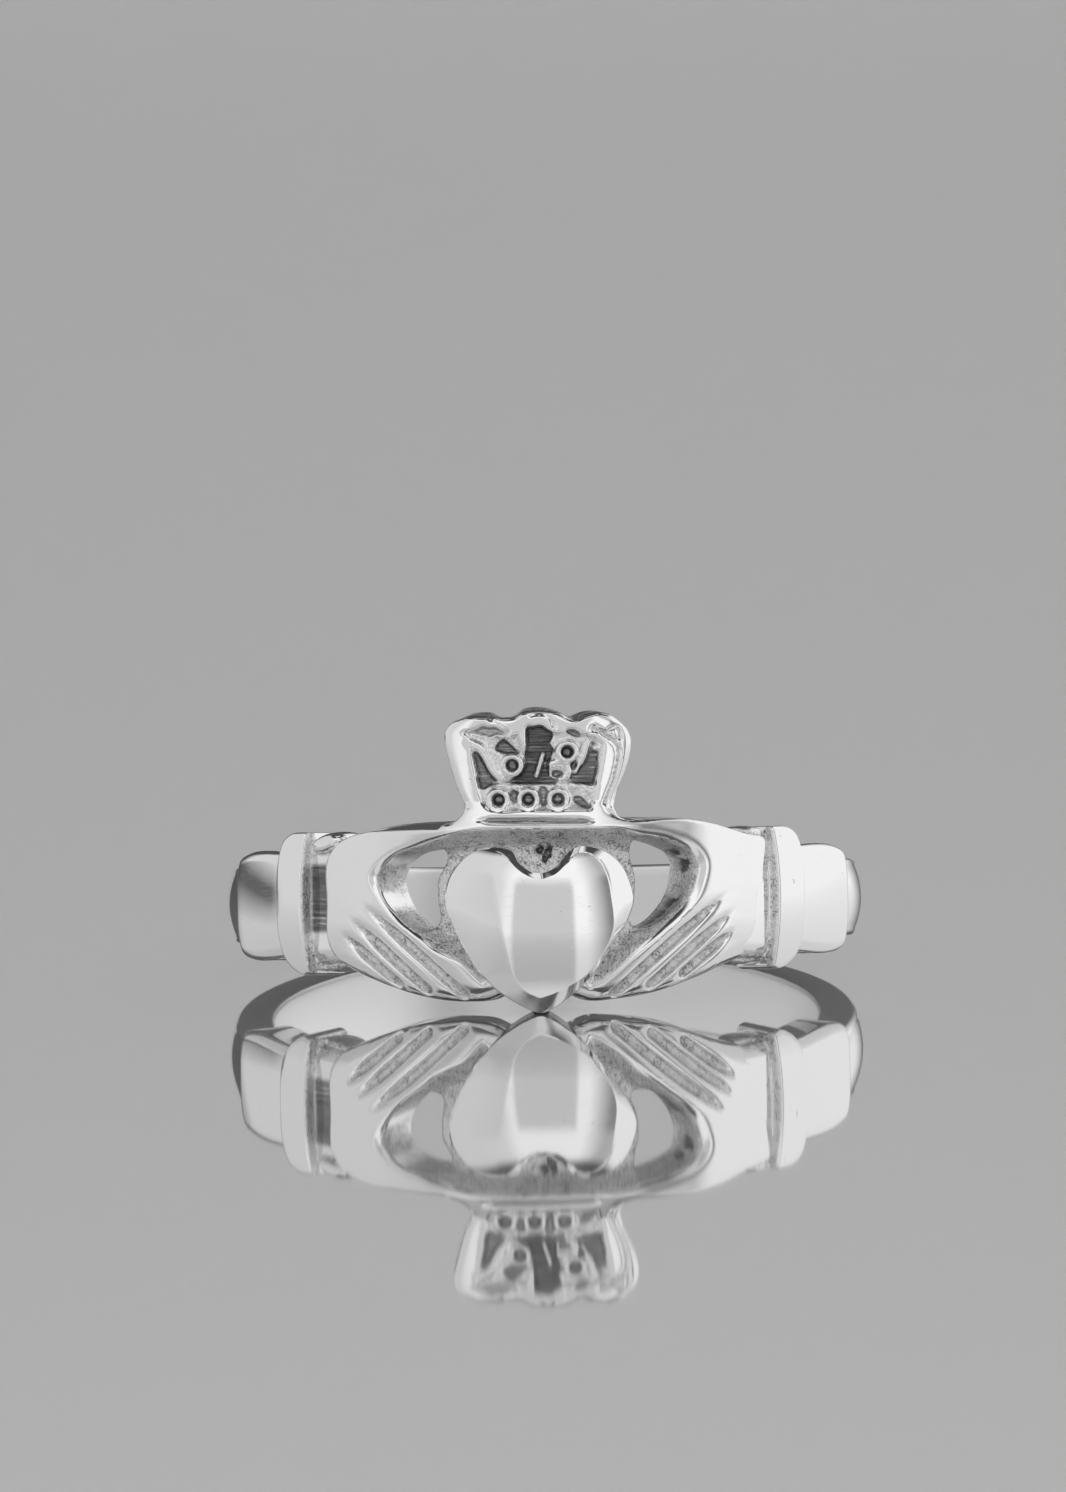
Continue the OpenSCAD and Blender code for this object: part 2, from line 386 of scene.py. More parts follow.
def mark(piece: bpy.types.Object, name: str, values: np.ndarray) -> None:
    """Keeps a value from 0 to 1 at each point, which the finish reads."""
    layer = piece.data.attributes.get(name) or piece.data.attributes.new(name, "FLOAT", "POINT")
    layer.data.foreach_set("value", np.clip(values, 0, 1).astype(np.float32))


def triangles(piece: bpy.types.Object) -> int:
    """How many triangles the piece has."""
    return sum(len(face.vertices) - 2 for face in piece.data.polygons)


# ---- how the ring lies


@dataclass(frozen=True)
class RingFrame:
    """Where the ring lies: its hole's middle and radius in mm, and the lean of its axis in radians."""

    back: float
    up: float
    lean: float
    bore: float

    @classmethod
    def from_record(cls, record: dict) -> "RingFrame":
        """Reads the finger hole's mount.

        Args:
            record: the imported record.

        Returns:
            The frame of the ring.
        """
        hole = next(m for m in record["mounts"] if m["name"] == "finger_hole")
        _, y, z = hole["pos_m"]
        _, lean_y, lean_z = hole["axis"]
        return cls(y / MM, z / MM, math.atan2(lean_y, lean_z), hole["dims"]["r_mm"])

    def settle(self, points: np.ndarray) -> np.ndarray:
        """Takes points from the ring's own frame to where they lie at rest.

        Args:
            points: x, y and the place along the finger's axis, in mm.

        Returns:
            The points in metres.
        """
        c, s = math.cos(self.lean), math.sin(self.lean)
        x, y, a = points.T
        return np.c_[x, self.back + y * c + a * s, self.up - y * s + a * c] * MM

    def bend(self, turn: np.ndarray, along: np.ndarray, height: np.ndarray) -> np.ndarray:
        """Lays flat work round the finger.

        Args:
            turn: angles from the front, in radians.
            along: places along the finger.
            height: distances from the finger hole.

        Returns:
            The points in the ring's own frame.
        """
        r = self.bore + height
        return np.c_[r * np.sin(turn), -r * np.cos(turn), along]


# ---- finishes


class NodeSheet:
    """A material's nodes, added and wired one after another."""

    def __init__(self, name: str) -> None:
        """Starts a material with an output alone.

        Args:
            name: the material's name.
        """
        self.material = bpy.data.materials.new(name)
        self.material.use_nodes = True
        self.tree = self.material.node_tree
        self.tree.nodes.clear()
        self.output = self.tree.nodes.new("ShaderNodeOutputMaterial")

    def add(self, kind: str, inputs: dict | None = None, **settings: object) -> bpy.types.Node:
        """Adds a node.

        Args:
            kind: the node's type name without its ShaderNode prefix.
            inputs: values or sockets for its inputs, by name or number.
            settings: the node's own properties.

        Returns:
            The node.
        """
        node = self.tree.nodes.new("ShaderNode" + kind)
        for key, value in settings.items():
            setattr(node, key, value)
        for key, value in (inputs or {}).items():
            if isinstance(value, bpy.types.NodeSocket):
                self.tree.links.new(value, node.inputs[key])
            else:
                node.inputs[key].default_value = value
        return node

    def ramp(self, value: bpy.types.NodeSocket, stops: list[tuple[float, float]]) -> bpy.types.NodeSocket:
        """Turns a value into grey levels.

        Args:
            value: the socket that gives the value.
            stops: places from 0 to 1, each with its level.

        Returns:
            The socket of the level.
        """
        node = self.add("ValToRGB", {"Fac": value})
        band = node.color_ramp
        while len(band.elements) < len(stops):
            band.elements.new(0.5)
        for element, (place, level) in zip(band.elements, stops):
            element.position = place
            element.color = (level, level, level, 1)
        return node.outputs["Color"]

    def math(self, operation: str, *values: object) -> bpy.types.NodeSocket:
        """The socket of a sum of values and sockets."""
        return self.add("Math", dict(enumerate(values)), operation=operation).outputs[0]

    def mark(self, name: str) -> bpy.types.NodeSocket:
        """The socket of a value that the pieces keep at their points."""
        return self.add("Attribute", attribute_name=name).outputs["Fac"]

    def stretched(self, vector: bpy.types.NodeSocket, scale: tuple[float, ...]) -> bpy.types.NodeSocket:
        """The socket of a vector times a scale."""
        return self.add("Mapping", {"Vector": vector, "Scale": scale}).outputs["Vector"]

    def noise(
        self, vector: bpy.types.NodeSocket, scale: float, detail: float, roughness: float = 0.5
    ) -> bpy.types.NodeSocket:
        """The socket of a noise pattern."""
        settings = {"Vector": vector, "Scale": scale, "Detail": detail, "Roughness": roughness}
        return self.add("TexNoise", settings).outputs["Fac"]

    def blend(self, share: bpy.types.NodeSocket, first: object, second: object) -> bpy.types.NodeSocket:
        """The socket of a colour between two colours or sockets."""
        return self.add("Mix", {"Factor": share, 6: first, 7: second}, data_type="RGBA").outputs[2]

    def finish(self, shader: str, sockets: dict) -> bpy.types.Material:
        """Puts the shader on the surface.

        Args:
            shader: the shader's type name without its ShaderNode prefix.
            sockets: values or sockets for its inputs.

        Returns:
            The finished material.
        """
        node = self.add(shader, sockets)
        self.tree.links.new(node.outputs[0], self.output.inputs["Surface"])
        return self.material


@dataclass(frozen=True)
class SilverFinish:
    """Polished sterling silver. The pieces' own marks say where it differs.

    The mark "grain" is the sandy casting skin, "filed" the dark, file-marked floor of a recess
    and also painted shade on the left neck, "satin" the softer polish towards the finger and "stain" old
    tarnish.
    """

    name: str = "silver"
    tint: tuple[float, ...] = (0.935, 0.935, 0.935)
    recess_tint: tuple[float, ...] = (0.055, 0.055, 0.055)
    polish: float = 0.055
    sandy: float = 0.28
    satin: float = 0.36
    scratch_mm: float = 0.00022
    wave_mm: float = 0.004
    grain_mm: float = 0.055
    file_mm: float = 0.03
    smudged: float = 0.05
    scratched: float = 0.05

    def material(self) -> bpy.types.Material:
        """Builds the node material.

        Returns:
            The material.
        """
        sheet = NodeSheet(self.name)
        in_mm = sheet.stretched(sheet.add("TexCoord").outputs["Object"], (1 / MM, 1 / MM, 1 / MM))
        grain, filed, satin, stain = (sheet.mark(name) for name in ("grain", "filed", "satin", "stain"))

        wave = sheet.noise(in_mm, 0.8, 1.0)
        smudge = sheet.noise(in_mm, 2.3, 4.0)
        fine = sheet.noise(in_mm, 15.0, 2.5, 0.6)
        patches = sheet.noise(in_mm, 3.4, 2.0)
        specks = sheet.noise(in_mm, 6.0, 1.0)
        file_lines = sheet.noise(sheet.stretched(in_mm, (0.8, 0.8, 13)), 1.0, 3.0)
        scratched = [self.scratches(sheet, in_mm, turn, per_mm) for turn, per_mm in ((0.22, 44), (-0.45, 50))]
        lines = sheet.math("MAXIMUM", *scratched)

        settings = {"Height": wave, "Distance": self.wave_mm * MM, "Strength": 1.0}
        normal = sheet.add("Bump", settings).outputs["Normal"]
        for height, depth_mm, strength in (
            (lines, -self.scratch_mm, 1.0), (fine, self.grain_mm, grain), (file_lines, self.file_mm, filed),
        ):
            settings = {"Height": height, "Distance": abs(depth_mm) * MM, "Strength": strength}
            normal = sheet.add("Bump", {**settings, "Normal": normal}, invert=depth_mm < 0).outputs["Normal"]

        tarnish = sheet.ramp(fine, [(0.38, 1.0), (0.56, 0.1)])
        tarnish = sheet.math("MULTIPLY", tarnish, sheet.ramp(patches, [(0.36, 0.85), (0.60, 0.22)]))
        tarnish = sheet.math("MULTIPLY", tarnish, grain)
        # The dark file mark also carries the painted shade of the left neck, so the dark tint paints that shade
        # too.
        marks = sheet.ramp(file_lines, [(0.42, 0.98), (0.58, 0.86), (0.70, 0.45)])
        marks = sheet.math("MULTIPLY", filed, marks)
        pinholes = sheet.ramp(specks, [(0.18, 0.4), (0.22, 0.0)])
        stain = sheet.math("MULTIPLY", stain, sheet.ramp(fine, [(0.44, 1.0), (0.66, 0.75)]))
        dull = sheet.math("MAXIMUM", tarnish, marks)
        dull = sheet.math("MAXIMUM", dull, sheet.math("MAXIMUM", pinholes, stain))
        tone = sheet.blend(dull, (*self.tint, 1), (*self.recess_tint, 1))

        roughness = sheet.math("MULTIPLY_ADD", smudge, self.smudged, self.polish - 0.02)
        roughness = sheet.math("MULTIPLY_ADD", grain, self.sandy - self.polish, roughness)
        roughness = sheet.math("MULTIPLY_ADD", lines, self.scratched, roughness)
        roughness = sheet.math("MULTIPLY_ADD", satin, self.satin - self.polish, roughness)
        sockets = {"Base Color": tone, "Metallic": 1.0, "Roughness": roughness, "Normal": normal}
        return sheet.finish("BsdfPrincipled", sockets)

    def scratches(
        self, sheet: NodeSheet, in_mm: bpy.types.NodeSocket, turn: float, per_mm: float
    ) -> bpy.types.NodeSocket:
        """Sparse fine scratches in one direction.

        Args:
            sheet: the material's nodes.
            in_mm: the place in mm.
            turn: their direction, in radians about y.
            per_mm: how thin they are.

        Returns:
            The socket of a level that is 1 on a scratch.
        """
        turned = sheet.add("Mapping", {"Vector": in_mm, "Rotation": (0.0, turn, 0.0)}).outputs["Vector"]
        level = sheet.noise(sheet.stretched(turned, (0.9, 0.9, per_mm)), 1.0, 0.0)
        return sheet.ramp(level, [(0.745, 0.0), (0.765, 1.0), (0.785, 0.0)])


@dataclass(frozen=True)
class PlainFinish:
    """A plain painted studio surface that mirrors as much as it says."""

    name: str
    level: float
    roughness: float
    mirror: float = 0.0

    def material(self) -> bpy.types.Material:
        """Builds the node material.

        Returns:
            The material.
        """
        sheet = NodeSheet(self.name)
        cloud = sheet.noise(sheet.add("TexCoord").outputs["Object"], 3.0, 2.0)
        low, high = (self.level * 0.98,) * 3 + (1,), (self.level,) * 3 + (1,)
        tone = sheet.blend(cloud, low, high)
        sockets = {"Base Color": tone, "Roughness": self.roughness, "Metallic": self.mirror}
        return sheet.finish("BsdfPrincipled", sockets)


class Side(Enum):
    """The two sides of the ring, seen from the front."""

    LEFT = -1
    RIGHT = 1


def deliver(piece: bpy.types.Object, finish: bpy.types.Material) -> None:
    """Gives a finished piece its material and its place in the frame, and logs it.

    Args:
        piece: the piece.
        finish: its material.
    """
    piece.data.materials.clear()
    piece.data.materials.append(finish)
    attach(piece, "root")
    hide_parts("ring")
    log.info("%s: %d triangles", piece.name, triangles(piece))


# ---- the pieces


@dataclass
class Band:
    """The plain rounded band, from sleeve to sleeve round the back, in mm and degrees."""

    ring: RingFrame
    name: str = "band"
    height: float = 2.48
    thickness: float = 1.45
    dome: float = 0.30
    edge: float = 0.22
    inner_edge: float = 0.16
    start_deg: float = 66.0
    steps: int = 240
    sharp_deg: float = 40.0

    def section(self) -> np.ndarray:
        """The band's cross-section: a domed outside, a straight inside and four rounded corners.

        Returns:
            Its points as radius and height.
        """
        half, outer, inner = self.height / 2, self.ring.bore + self.thickness, self.ring.bore
        top, small = half - self.edge, self.inner_edge
        start = outer - self.dome * (top / half) ** 2
        turns = np.linspace(0, math.pi / 2, 7)
        corner = [
            (start - self.edge * (1 - math.cos(t)), top + self.edge * math.sin(t))
            for t in np.linspace(0.25, math.pi / 2, 8)
        ]
        rows = [(outer - self.dome * (a / half) ** 2, a) for a in np.linspace(-top, top, 21)]
        rows += corner
        rows += [(inner + small * (1 - math.sin(t)), half - small * (1 - math.cos(t))) for t in turns]
        rows += [(inner, a) for a in np.linspace(half - small, -half + small, 12)[1:-1]]
        rows += [(inner + small * (1 - math.cos(t)), -half + small * (1 - math.sin(t))) for t in turns]
        rows += [(r, -a) for r, a in corner[::-1]]
        return np.array(rows)

    def build(self) -> bpy.types.Object:
        """Spins the section round the finger, with closed ends that lie inside the sleeves.

        Returns:
            The band.
        """
        section = self.section()
        clear_selection()
        bpy.ops.mesh.primitive_circle_add(vertices=len(section), radius=1, fill_type="NGON")
        piece = named(self.name)
        first = math.radians(self.start_deg)
        r, a = section.T
        set_points(piece, np.c_[r * math.sin(first), -r * math.cos(first), a])
        bpy.ops.object.mode_set(mode="EDIT")
        bpy.ops.mesh.select_all(action="SELECT")
        sweep = 2 * math.pi - 2 * first
        bpy.ops.mesh.spin(steps=self.steps, angle=sweep, center=(0, 0, 0), axis=(0, 0, -1))
        bpy.ops.object.mode_set(mode="OBJECT")
        if points_of(piece)[:, 1].max() < self.ring.bore:
            raise RuntimeError("the band was spun the wrong way")
        faces_out(piece)
        p = points_of(piece)
        mark(piece, "satin", ease(0.12, 0.03, np.hypot(p[:, 0], p[:, 1]) - self.ring.bore))
        set_points(piece, self.ring.settle(p))
        pick(piece)
        bpy.ops.object.shade_smooth_by_angle(angle=math.radians(self.sharp_deg))
        return piece


LUMPS: dict[Side, list[tuple[tuple[float, ...], tuple[float, ...], float]]] = {
    Side.LEFT: [
        ((40.2, 1.78, 1.15), (0.70, 0.34, 0.86), -0.22),
        ((40.4, -2.02, 0.8), (0.75, 0.22, 0.6), -0.12),
    ],
    Side.RIGHT: [
        ((41.2, 1.94, 1.05), (0.50, 0.21, 0.78), -0.1),
        ((41.0, -1.98, 0.8), (0.8, 0.2, 0.55), 0.1),
    ],
}


@dataclass
class CuffAndSleeve:
    """One sleeve with its cuff, the neck to the hand and the lumps beside it, in mm and degrees.

    A pair in a field holds the left side's value and then the right side's.
    """

    ring: RingFrame
    side: Side
    arc_r: float = 10.0
    sleeve: tuple[float, ...] = (49.6, 70.0, -1.75, 1.55)
    sleeve_t: float = 1.70
    sleeve_corner: float = 0.45
    sleeve_rounding: float = 0.3
    sleeve_skin: tuple[float, float] = (66.0, 69.0)
    cuff: tuple[float, ...] = (51.0, -2.33, 2.13)
    cuff_starts: tuple[float, float] = (44.4, 44.1)
    cuff_t: float = 2.05
    cuff_rounding: float = 0.13
    neck_end: float = 36.5
    neck_edges: tuple[float, float] = (-1.95, 1.88)
    neck_levels: tuple[float, float] = (1.56, 1.66)
    neck_rim: float = 1.74
    upper_grain: tuple[float, float] = (0.08, 0.4)
    lower_grain: float = 0.8
    shades: tuple[float, float] = (0.9, 0.0)
    skin: float = 0.02
    fall_share: float = 0.058
    points: int = 160
    grid: float = 0.05

    def ours(self, pair: tuple[float, float]) -> float:
        """This side's value of a pair."""
        return pair[self.side is Side.RIGHT]

    @property
    def wall(self) -> float:
        """Where the cuff's wall towards the hand lies across the strip."""
        return self.flat(self.ours(self.cuff_starts))

    @property
    def neck_t(self) -> float:
        """The neck's thickness at its middle."""
        return self.ours(self.neck_levels)

    def flat(self, degrees: float) -> float:
        """Where an angle from the front lies across the strip."""
        return self.arc_r * math.radians(degrees)

    def pad(self, name: str, rows: Rows, top: float, rounding: float) -> bpy.types.Object:
        """A slab with a rounded upper edge.

        Args:
            name: its name.
            rows: its outline.
            top: its thickness.
            rounding: the radius of its upper edge.

        Returns:
            The slab.
        """
        line = smooth_line(rows, self.points)
        sections: list[Section] = [(inset(line, 0.12), 0.0), (line, 0.14)]
        for turn in np.linspace(0, math.pi / 2, 6):
            by, drop = rounding * (1 - math.cos(turn)), rounding * (1 - math.sin(turn))
            sections.append((inset(line, by), top - drop))
        return loft(name, sections)

    def sleeve_part(self) -> bpy.types.Object:
        """The sleeve, with rounded corners at its far end.

        Returns:
            The slab.
        """
        near, far, low, high = self.sleeve
        s0, s1, c = self.flat(near), self.flat(far), self.sleeve_corner
        rows = [
            (s0, low), (s0, low), (s1 - c, low), (s1 - 0.3 * c, low + 0.3 * c), (s1, low + c), (s1, 0),
            (s1, high - c), (s1 - 0.3 * c, high - 0.3 * c), (s1 - c, high), (s0, high), (s0, high),
        ]
        return self.pad("sleeve part", rows, self.sleeve_t, self.sleeve_rounding)

    def cuff_part(self) -> bpy.types.Object:
        """The cuff, straight towards the hand and rounded off outside.

        Returns:
            The slab.
        """
        far, low, high = self.cuff
        s0, s1 = self.wall, self.flat(far)
        rows = [
            (s0, low + 0.06), (s0, low + 0.06), (s0 + 0.35, low), (s1 - 0.55, low + 0.12),
            (s1 - 0.2, low + 0.42), (s1, low + 0.95), (s1 + 0.02, 0), (s1, high - 0.55),
            (s1 - 0.14, high - 0.2), (s1 - 0.45, high - 0.02), (s0, high), (s0, high),
        ]
        return self.pad("cuff part", rows, self.cuff_t, self.cuff_rounding)

    def neck_part(self) -> bpy.types.Object:
        """The neck, a low saddle that rises towards its upper and lower edge.

        Returns:
            The saddle.
        """
        s0, s1 = self.flat(self.neck_end), self.wall + 0.3
        low, high = self.neck_edges
        clear_selection()
        bpy.ops.mesh.primitive_grid_add(x_subdivisions=24, y_subdivisions=40, size=2)
        piece = named("neck part")
        bpy.ops.object.mode_set(mode="EDIT")
        bpy.ops.mesh.select_all(action="SELECT")
        bpy.ops.mesh.extrude_region_move(TRANSFORM_OT_translate={"value": (0, 0, 1)})
        bpy.ops.object.mode_set(mode="OBJECT")
        p = points_of(piece)
        s = s0 + (p[:, 0] + 1) / 2 * (s1 - s0)
        a = (p[:, 1] + 1) / 2 * (high - low) + low
        rise = (self.neck_rim - self.neck_t) * np.abs(a / low) ** 2.2
        top = self.neck_t + rise - 0.25 * ease(1.6, -low, np.abs(a))
        set_points(piece, np.c_[s, a, np.where(p[:, 2] > 0.5, top, 0.0)])
        faces_out(piece)
        return piece

    def lumps(self) -> list[bpy.types.Object]:
        """The lumps of metal above and below the neck, where the cuff meets the hand."""
        return [pebble("lump", (self.flat(at[0]), *at[1:]), size, turn) for at, size, turn in LUMPS[self.side]]

    def grain(self, s: np.ndarray, a: np.ndarray, h: np.ndarray) -> np.ndarray:
        """Where the casting skin was left: the cuff's wall, the lumps and the sleeve's far end.

        Args:
            s: places across the strip.
            a: places along the finger.
            h: distances from the finger hole.

        Returns:
            How sandy each place is.
        """
        over_neck = ease(self.neck_t + 0.02, self.neck_t + 0.08, h)
        wall = ease(0.10, 0.04, np.abs(s - self.wall)) * over_neck * ease(2.02, 1.94, h)
        lump = ease(self.wall, self.wall - 0.1, s) * np.maximum(ease(1.7, 1.85, a), ease(-1.7, -1.9, a))
        lump = lump * np.where(a > 0, self.ours(self.upper_grain), self.lower_grain)
        near, far = (self.flat(degrees) for degrees in self.sleeve_skin)
        end = 0.5 * ease(0.08, 0.2, h) * ease(self.sleeve_t - 0.2, self.sleeve_t - 0.35, h) * ease(near, far, s)
        return np.maximum.reduce([wall, lump, end])

    def shade(self, s: np.ndarray, a: np.ndarray, h: np.ndarray) -> np.ndarray:
        """Painted shade: the neck's dark patch by the cuff, a painted reflection of the hand's wall; left side
        only.

        Args:
            s: places across the strip.
            a: places along the finger.
            h: distances from the finger hole.

        Returns:
            How dark each place is.
        """
        patch = ease(self.wall + 0.02, self.wall - 0.06, s) * ease(1.16, 0.96, np.abs(a - 0.06))
        return patch * ease(1.2, 1.3, h) * self.ours(self.shades)

    def build(self) -> bpy.types.Object:
        """Welds the parts and bends them round the finger.

        Returns:
            The sleeve and cuff of this side.
        """
        parts = [self.cuff_part(), self.sleeve_part(), self.neck_part(), *self.lumps()]
        piece = weld("cuff_" + self.side.name.lower(), parts, self.grid, 4)
        flat = points_of(piece)
        s, a, h = flat.T
        grain = self.grain(s, a, h)
        mark(piece, "grain", grain)
        mark(piece, "satin", ease(0.12, 0.04, h))
        # Painted shade: the neck's dark patch goes into the same mark as the dark file-marked floors.
        mark(piece, "filed", self.shade(s, a, h))
        skin = cast_noise(flat, SKIN_PER_MM, 3.0) * self.skin * grain
        height = (h + skin) * (1 - self.fall_share * a * a / self.cuff_t)
        bent = self.ring.bend(s * self.side.value / self.arc_r, a, height)
        set_points(piece, self.ring.settle(bent))
        if self.side is Side.LEFT:
            faces_out(piece)
        return piece


@dataclass
class FrontPlate:
    """Both hands, the rail over the heart and the crown: one pierced and carved plate, in mm."""

    ring: RingFrame
    face_r: float = 10.4
    hand_t: float = 1.85
    crown_t: float = 1.95
    crown_back: float = 0.35
    crest: float = 0.6
    lower_rounding: float = 0.62
    upper_rounding: float = 0.08
    slope_from: float = 1.05
    bevel_d: float = 0.15
    panel_d: float = 0.84
    panel_fall: float = 0.62
    panel_start: float = 0.1913
    groove_d: float = 0.27
    finger_d: float = 0.085
    hollow_d: float = 0.24
    line_d: float = 0.12
    skin: float = 0.024
    crown_wider: float = 0.025
    plain_below: float = 0.9
    grid: float = 0.045
    most: int = 192000
    hands_edge: Spots = (
        (0.0, 2.40), (-2.58, 2.39), (-3.0, 2.38), (-4.02, 2.35), (-5.06, 2.24), (-5.6, 2.12), (-6.10, 1.93),
        (-6.48, 1.66), (-6.70, 1.30), (-6.74, 0.0), (-6.72, -1.5), (-6.5, -1.95), (-6.25, -2.14),
        (-5.39, -2.58), (-4.36, -2.96), (-3.34, -3.18), (-2.35, -3.24), (-1.6, -3.19), (-1.1, -3.0),
        (-0.5, -2.8), (0.0, -2.72), (0.5, -2.8), (1.0, -3.05), (1.6, -3.25), (2.6, -3.21), (3.91, -3.0),
        (5.19, -2.56), (5.96, -2.22), (6.6, -2.02), (7.15, -1.95), (7.3, -1.7), (7.3, 0.0), (7.3, 1.6),
        (7.15, 1.84), (6.7, 1.9), (6.4, 1.97), (5.39, 2.26), (4.63, 2.39), (3.37, 2.43), (1.6, 2.42),
    )
    rim: Spots = (
        (-1.87, -2.81), (-1.87, -2.81), (-2.52, -2.14), (-3.02, -1.89), (-3.43, -1.69), (-3.78, -1.37),
        (-4.53, -0.73), (-5.03, -0.06), (-5.3, 0.48), (-5.3, 0.79), (-4.76, 1.40), (-3.74, 1.83),
        (-2.72, 2.02), (-1.6, 2.12), (0.0, 2.12), (1.6, 2.12), (3.2, 2.14), (4.08, 2.03), (4.83, 1.72),
        (5.21, 1.3), (5.32, 0.9), (5.2, 0.3), (4.94, -0.24), (4.04, -1.13), (3.03, -1.97), (2.52, -2.37),
        (1.6, -2.95), (1.6, -2.95), (1.2, -2.2), (0.0, -1.9), (-1.2, -2.2),
    )
    hole_left: Spots = (
        (-3.1, 1.5), (-3.5, 1.5), (-4.25, 1.38), (-4.78, 1.02), (-4.96, 0.6), (-4.80, 0.0), (-4.28, -0.6),
        (-3.62, -1.0), (-3.38, -0.75), (-3.44, 0.0), (-3.4, 0.6), (-3.12, 1.1),
    )
    hole_right: Spots = (
        (3.1, 1.72), (3.5, 1.7), (4.15, 1.54), (4.66, 1.30), (4.84, 0.9), (4.68, 0.15), (4.10, -0.58),
        (3.30, -0.96), (3.02, -0.8), (3.2, -0.2), (3.26, 0.5), (3.1, 1.2),
    )
    grooves: tuple[Spots, ...] = (
        ((-5.42, -0.20), (-2.55, -3.0)), ((-5.84, -0.62), (-3.74, -2.84)), ((-6.17, -1.04), (-4.69, -2.62)),
        ((5.72, -0.03), (2.5, -3.02)), ((5.98, -0.53), (3.65, -2.76)), ((6.06, -1.09), (4.65, -2.42)),
    )
    hollow_spots: Spots = ((0.06, 1.42, 0.16, 0.17), (0.34, 1.36, 0.15, 0.27), (0.22, 1.17, 0.14, 0.18))
    rail_line: Spots = ((-1.85, 2.37), (1.72, 2.29))
    stains: Spots = (
        (4.98, 0.94, 1.05, 0.34, 0.26, 0.42), (4.80, 1.36, 0.75, 0.36, 0.24, 0.5),
        (4.52, -0.30, 0.85, 0.30, 0.30, 0.42), (4.20, -0.66, 0.80, 0.36, 0.26, 0.42),
        (3.80, -0.92, 0.75, 0.34, 0.22, 0.4),
    )

    def outline(self) -> np.ndarray:
        """The hands' outline."""
        return smooth_line(list(self.hands_edge), 520)

    def base(self) -> bpy.types.Object:
        """The bare plate: hands and rail, pierced beside the heart, sloped above and rounded below.

        Returns:
            The plate.
        """
        line = self.outline()
        s = line[:, 0]
        facing = outward(line)[:, 1]
        up, down = np.clip(facing, 0, 1) ** 2, np.clip(-facing, 0, 1) ** 2
        slope_left, slope_right = 0.07 + 0.19 * ease(6.3, 3.6, -s), 0.05 + 0.07 * ease(4.5, 3.0, s)
        slope = np.where(s < 0, slope_left, slope_right) * up
        round_r = self.lower_rounding * down + self.upper_rounding * (1 - down)
        sections: list[Section] = [(inset(line, 0.10), 0.0), (line, 0.12), (line, 0.9)]
        for turn in np.linspace(0, math.pi / 2, 10):
            share = 2 * turn / math.pi
            by = slope * share + round_r * (1 - up) * (1 - math.cos(turn))
            rounded = self.hand_t - round_r + round_r * math.sin(turn)
            sloped = self.slope_from + (self.hand_t - self.slope_from) * share
            sections.append((inset(line, by), rounded * (1 - up) + sloped * up))
        plate = loft("plate", sections)
        holes = []
        for rows in (self.hole_left, self.hole_right):
            edge = smooth_line(list(rows), 90)
            holes.append(loft("hole", [(edge, -0.5), (inset(edge, -0.04), self.hand_t + 0.5)]))
        cut_out(plate, holes)
        return plate

    def crown_blank(self) -> bpy.types.Object:
        """The crown's blank: its lobed outline, with each lobe's cap sloping back at the top.

        Returns:
            The blank.
        """
        line = smooth_line(CROWN_EDGE, 420)
        caps = np.interp(line[:, 0], *np.array(CROWN_CAPS).T) * ease(4.9, 5.3, line[:, 1])
        back, foot = self.crown_back, 1.1
        sections: list[Section] = [(inset(line, 0.12), back), (line, back + 0.14), (line, 1.0)]
        for share in (0.0, 0.35, 0.7, 0.9, 1.0):
            eased = inset(line, 0.05 * max(share - 0.7, 0) / 0.3)
            lowered = eased - np.c_[np.zeros(len(line)), caps * share]
            sections.append((lowered, foot + (self.hand_t - foot) * share))
        return loft("crown blank", sections)

    def face(self, s: np.ndarray, a: np.ndarray) -> np.ndarray:
        """The polished face: level above its crest, rolling down to the fingertips and to the necks.

        Args:
            s: places across the plate.
            a: places along the finger.

        Returns:
            The height of the face over the finger hole at each place.
        """
        low = np.maximum(-0.7 - a, 0)
        hands = self.hand_t - 0.02 * np.maximum(self.crest - a, 0) ** 1.5 - 0.085 * low**2
        hands = hands - 0.20 * ease(5.4, 7.2, s) - 0.14 * ease(5.6, 6.9, -s)
        rise = ease(1.6, 2.1, a) * ease(4.6, 2.8, np.abs(s))
        crown = self.crown_t - 0.28 * np.clip((a - 2.15) / 0.8, 0, 1) + 0.05 * ease(2.9, 5.2, a)
        return hands + (crown - hands) * rise

    def panels(self, flat: np.ndarray) -> tuple[np.ndarray, np.ndarray, np.ndarray]:
        """The sunk panels round the heart, inside a bevelled rim.

        Args:
            flat: places on the plate.

        Returns:
            How deep and how sandy each place is, and how far inside the rim.
        """
        s, a = flat.T
        inside = depth_inside(flat, smooth_line(list(self.rim), 360), 0.5)
        side = ease(2.2, 3.3, np.abs(s))
        bevel = 0.10 + side * np.where(s > 0, 0.20, 0.13) * (0.45 + 0.55 * ease(-1.6, 0.9, a))
        bevelled = self.bevel_d * np.clip(inside / bevel, 0, 1) ** 2
        fallen = 0.28 + 0.72 * np.clip((inside - bevel) / self.panel_fall, 0, 1)
        sunk = bevelled + self.panel_d * ease(0.0, 1.0, fallen) - self.panel_d * self.panel_start
        depth = np.where(inside > bevel, sunk, bevelled * (inside > 0))
        return depth, ease(bevel - 0.01, bevel + 0.04, inside), inside

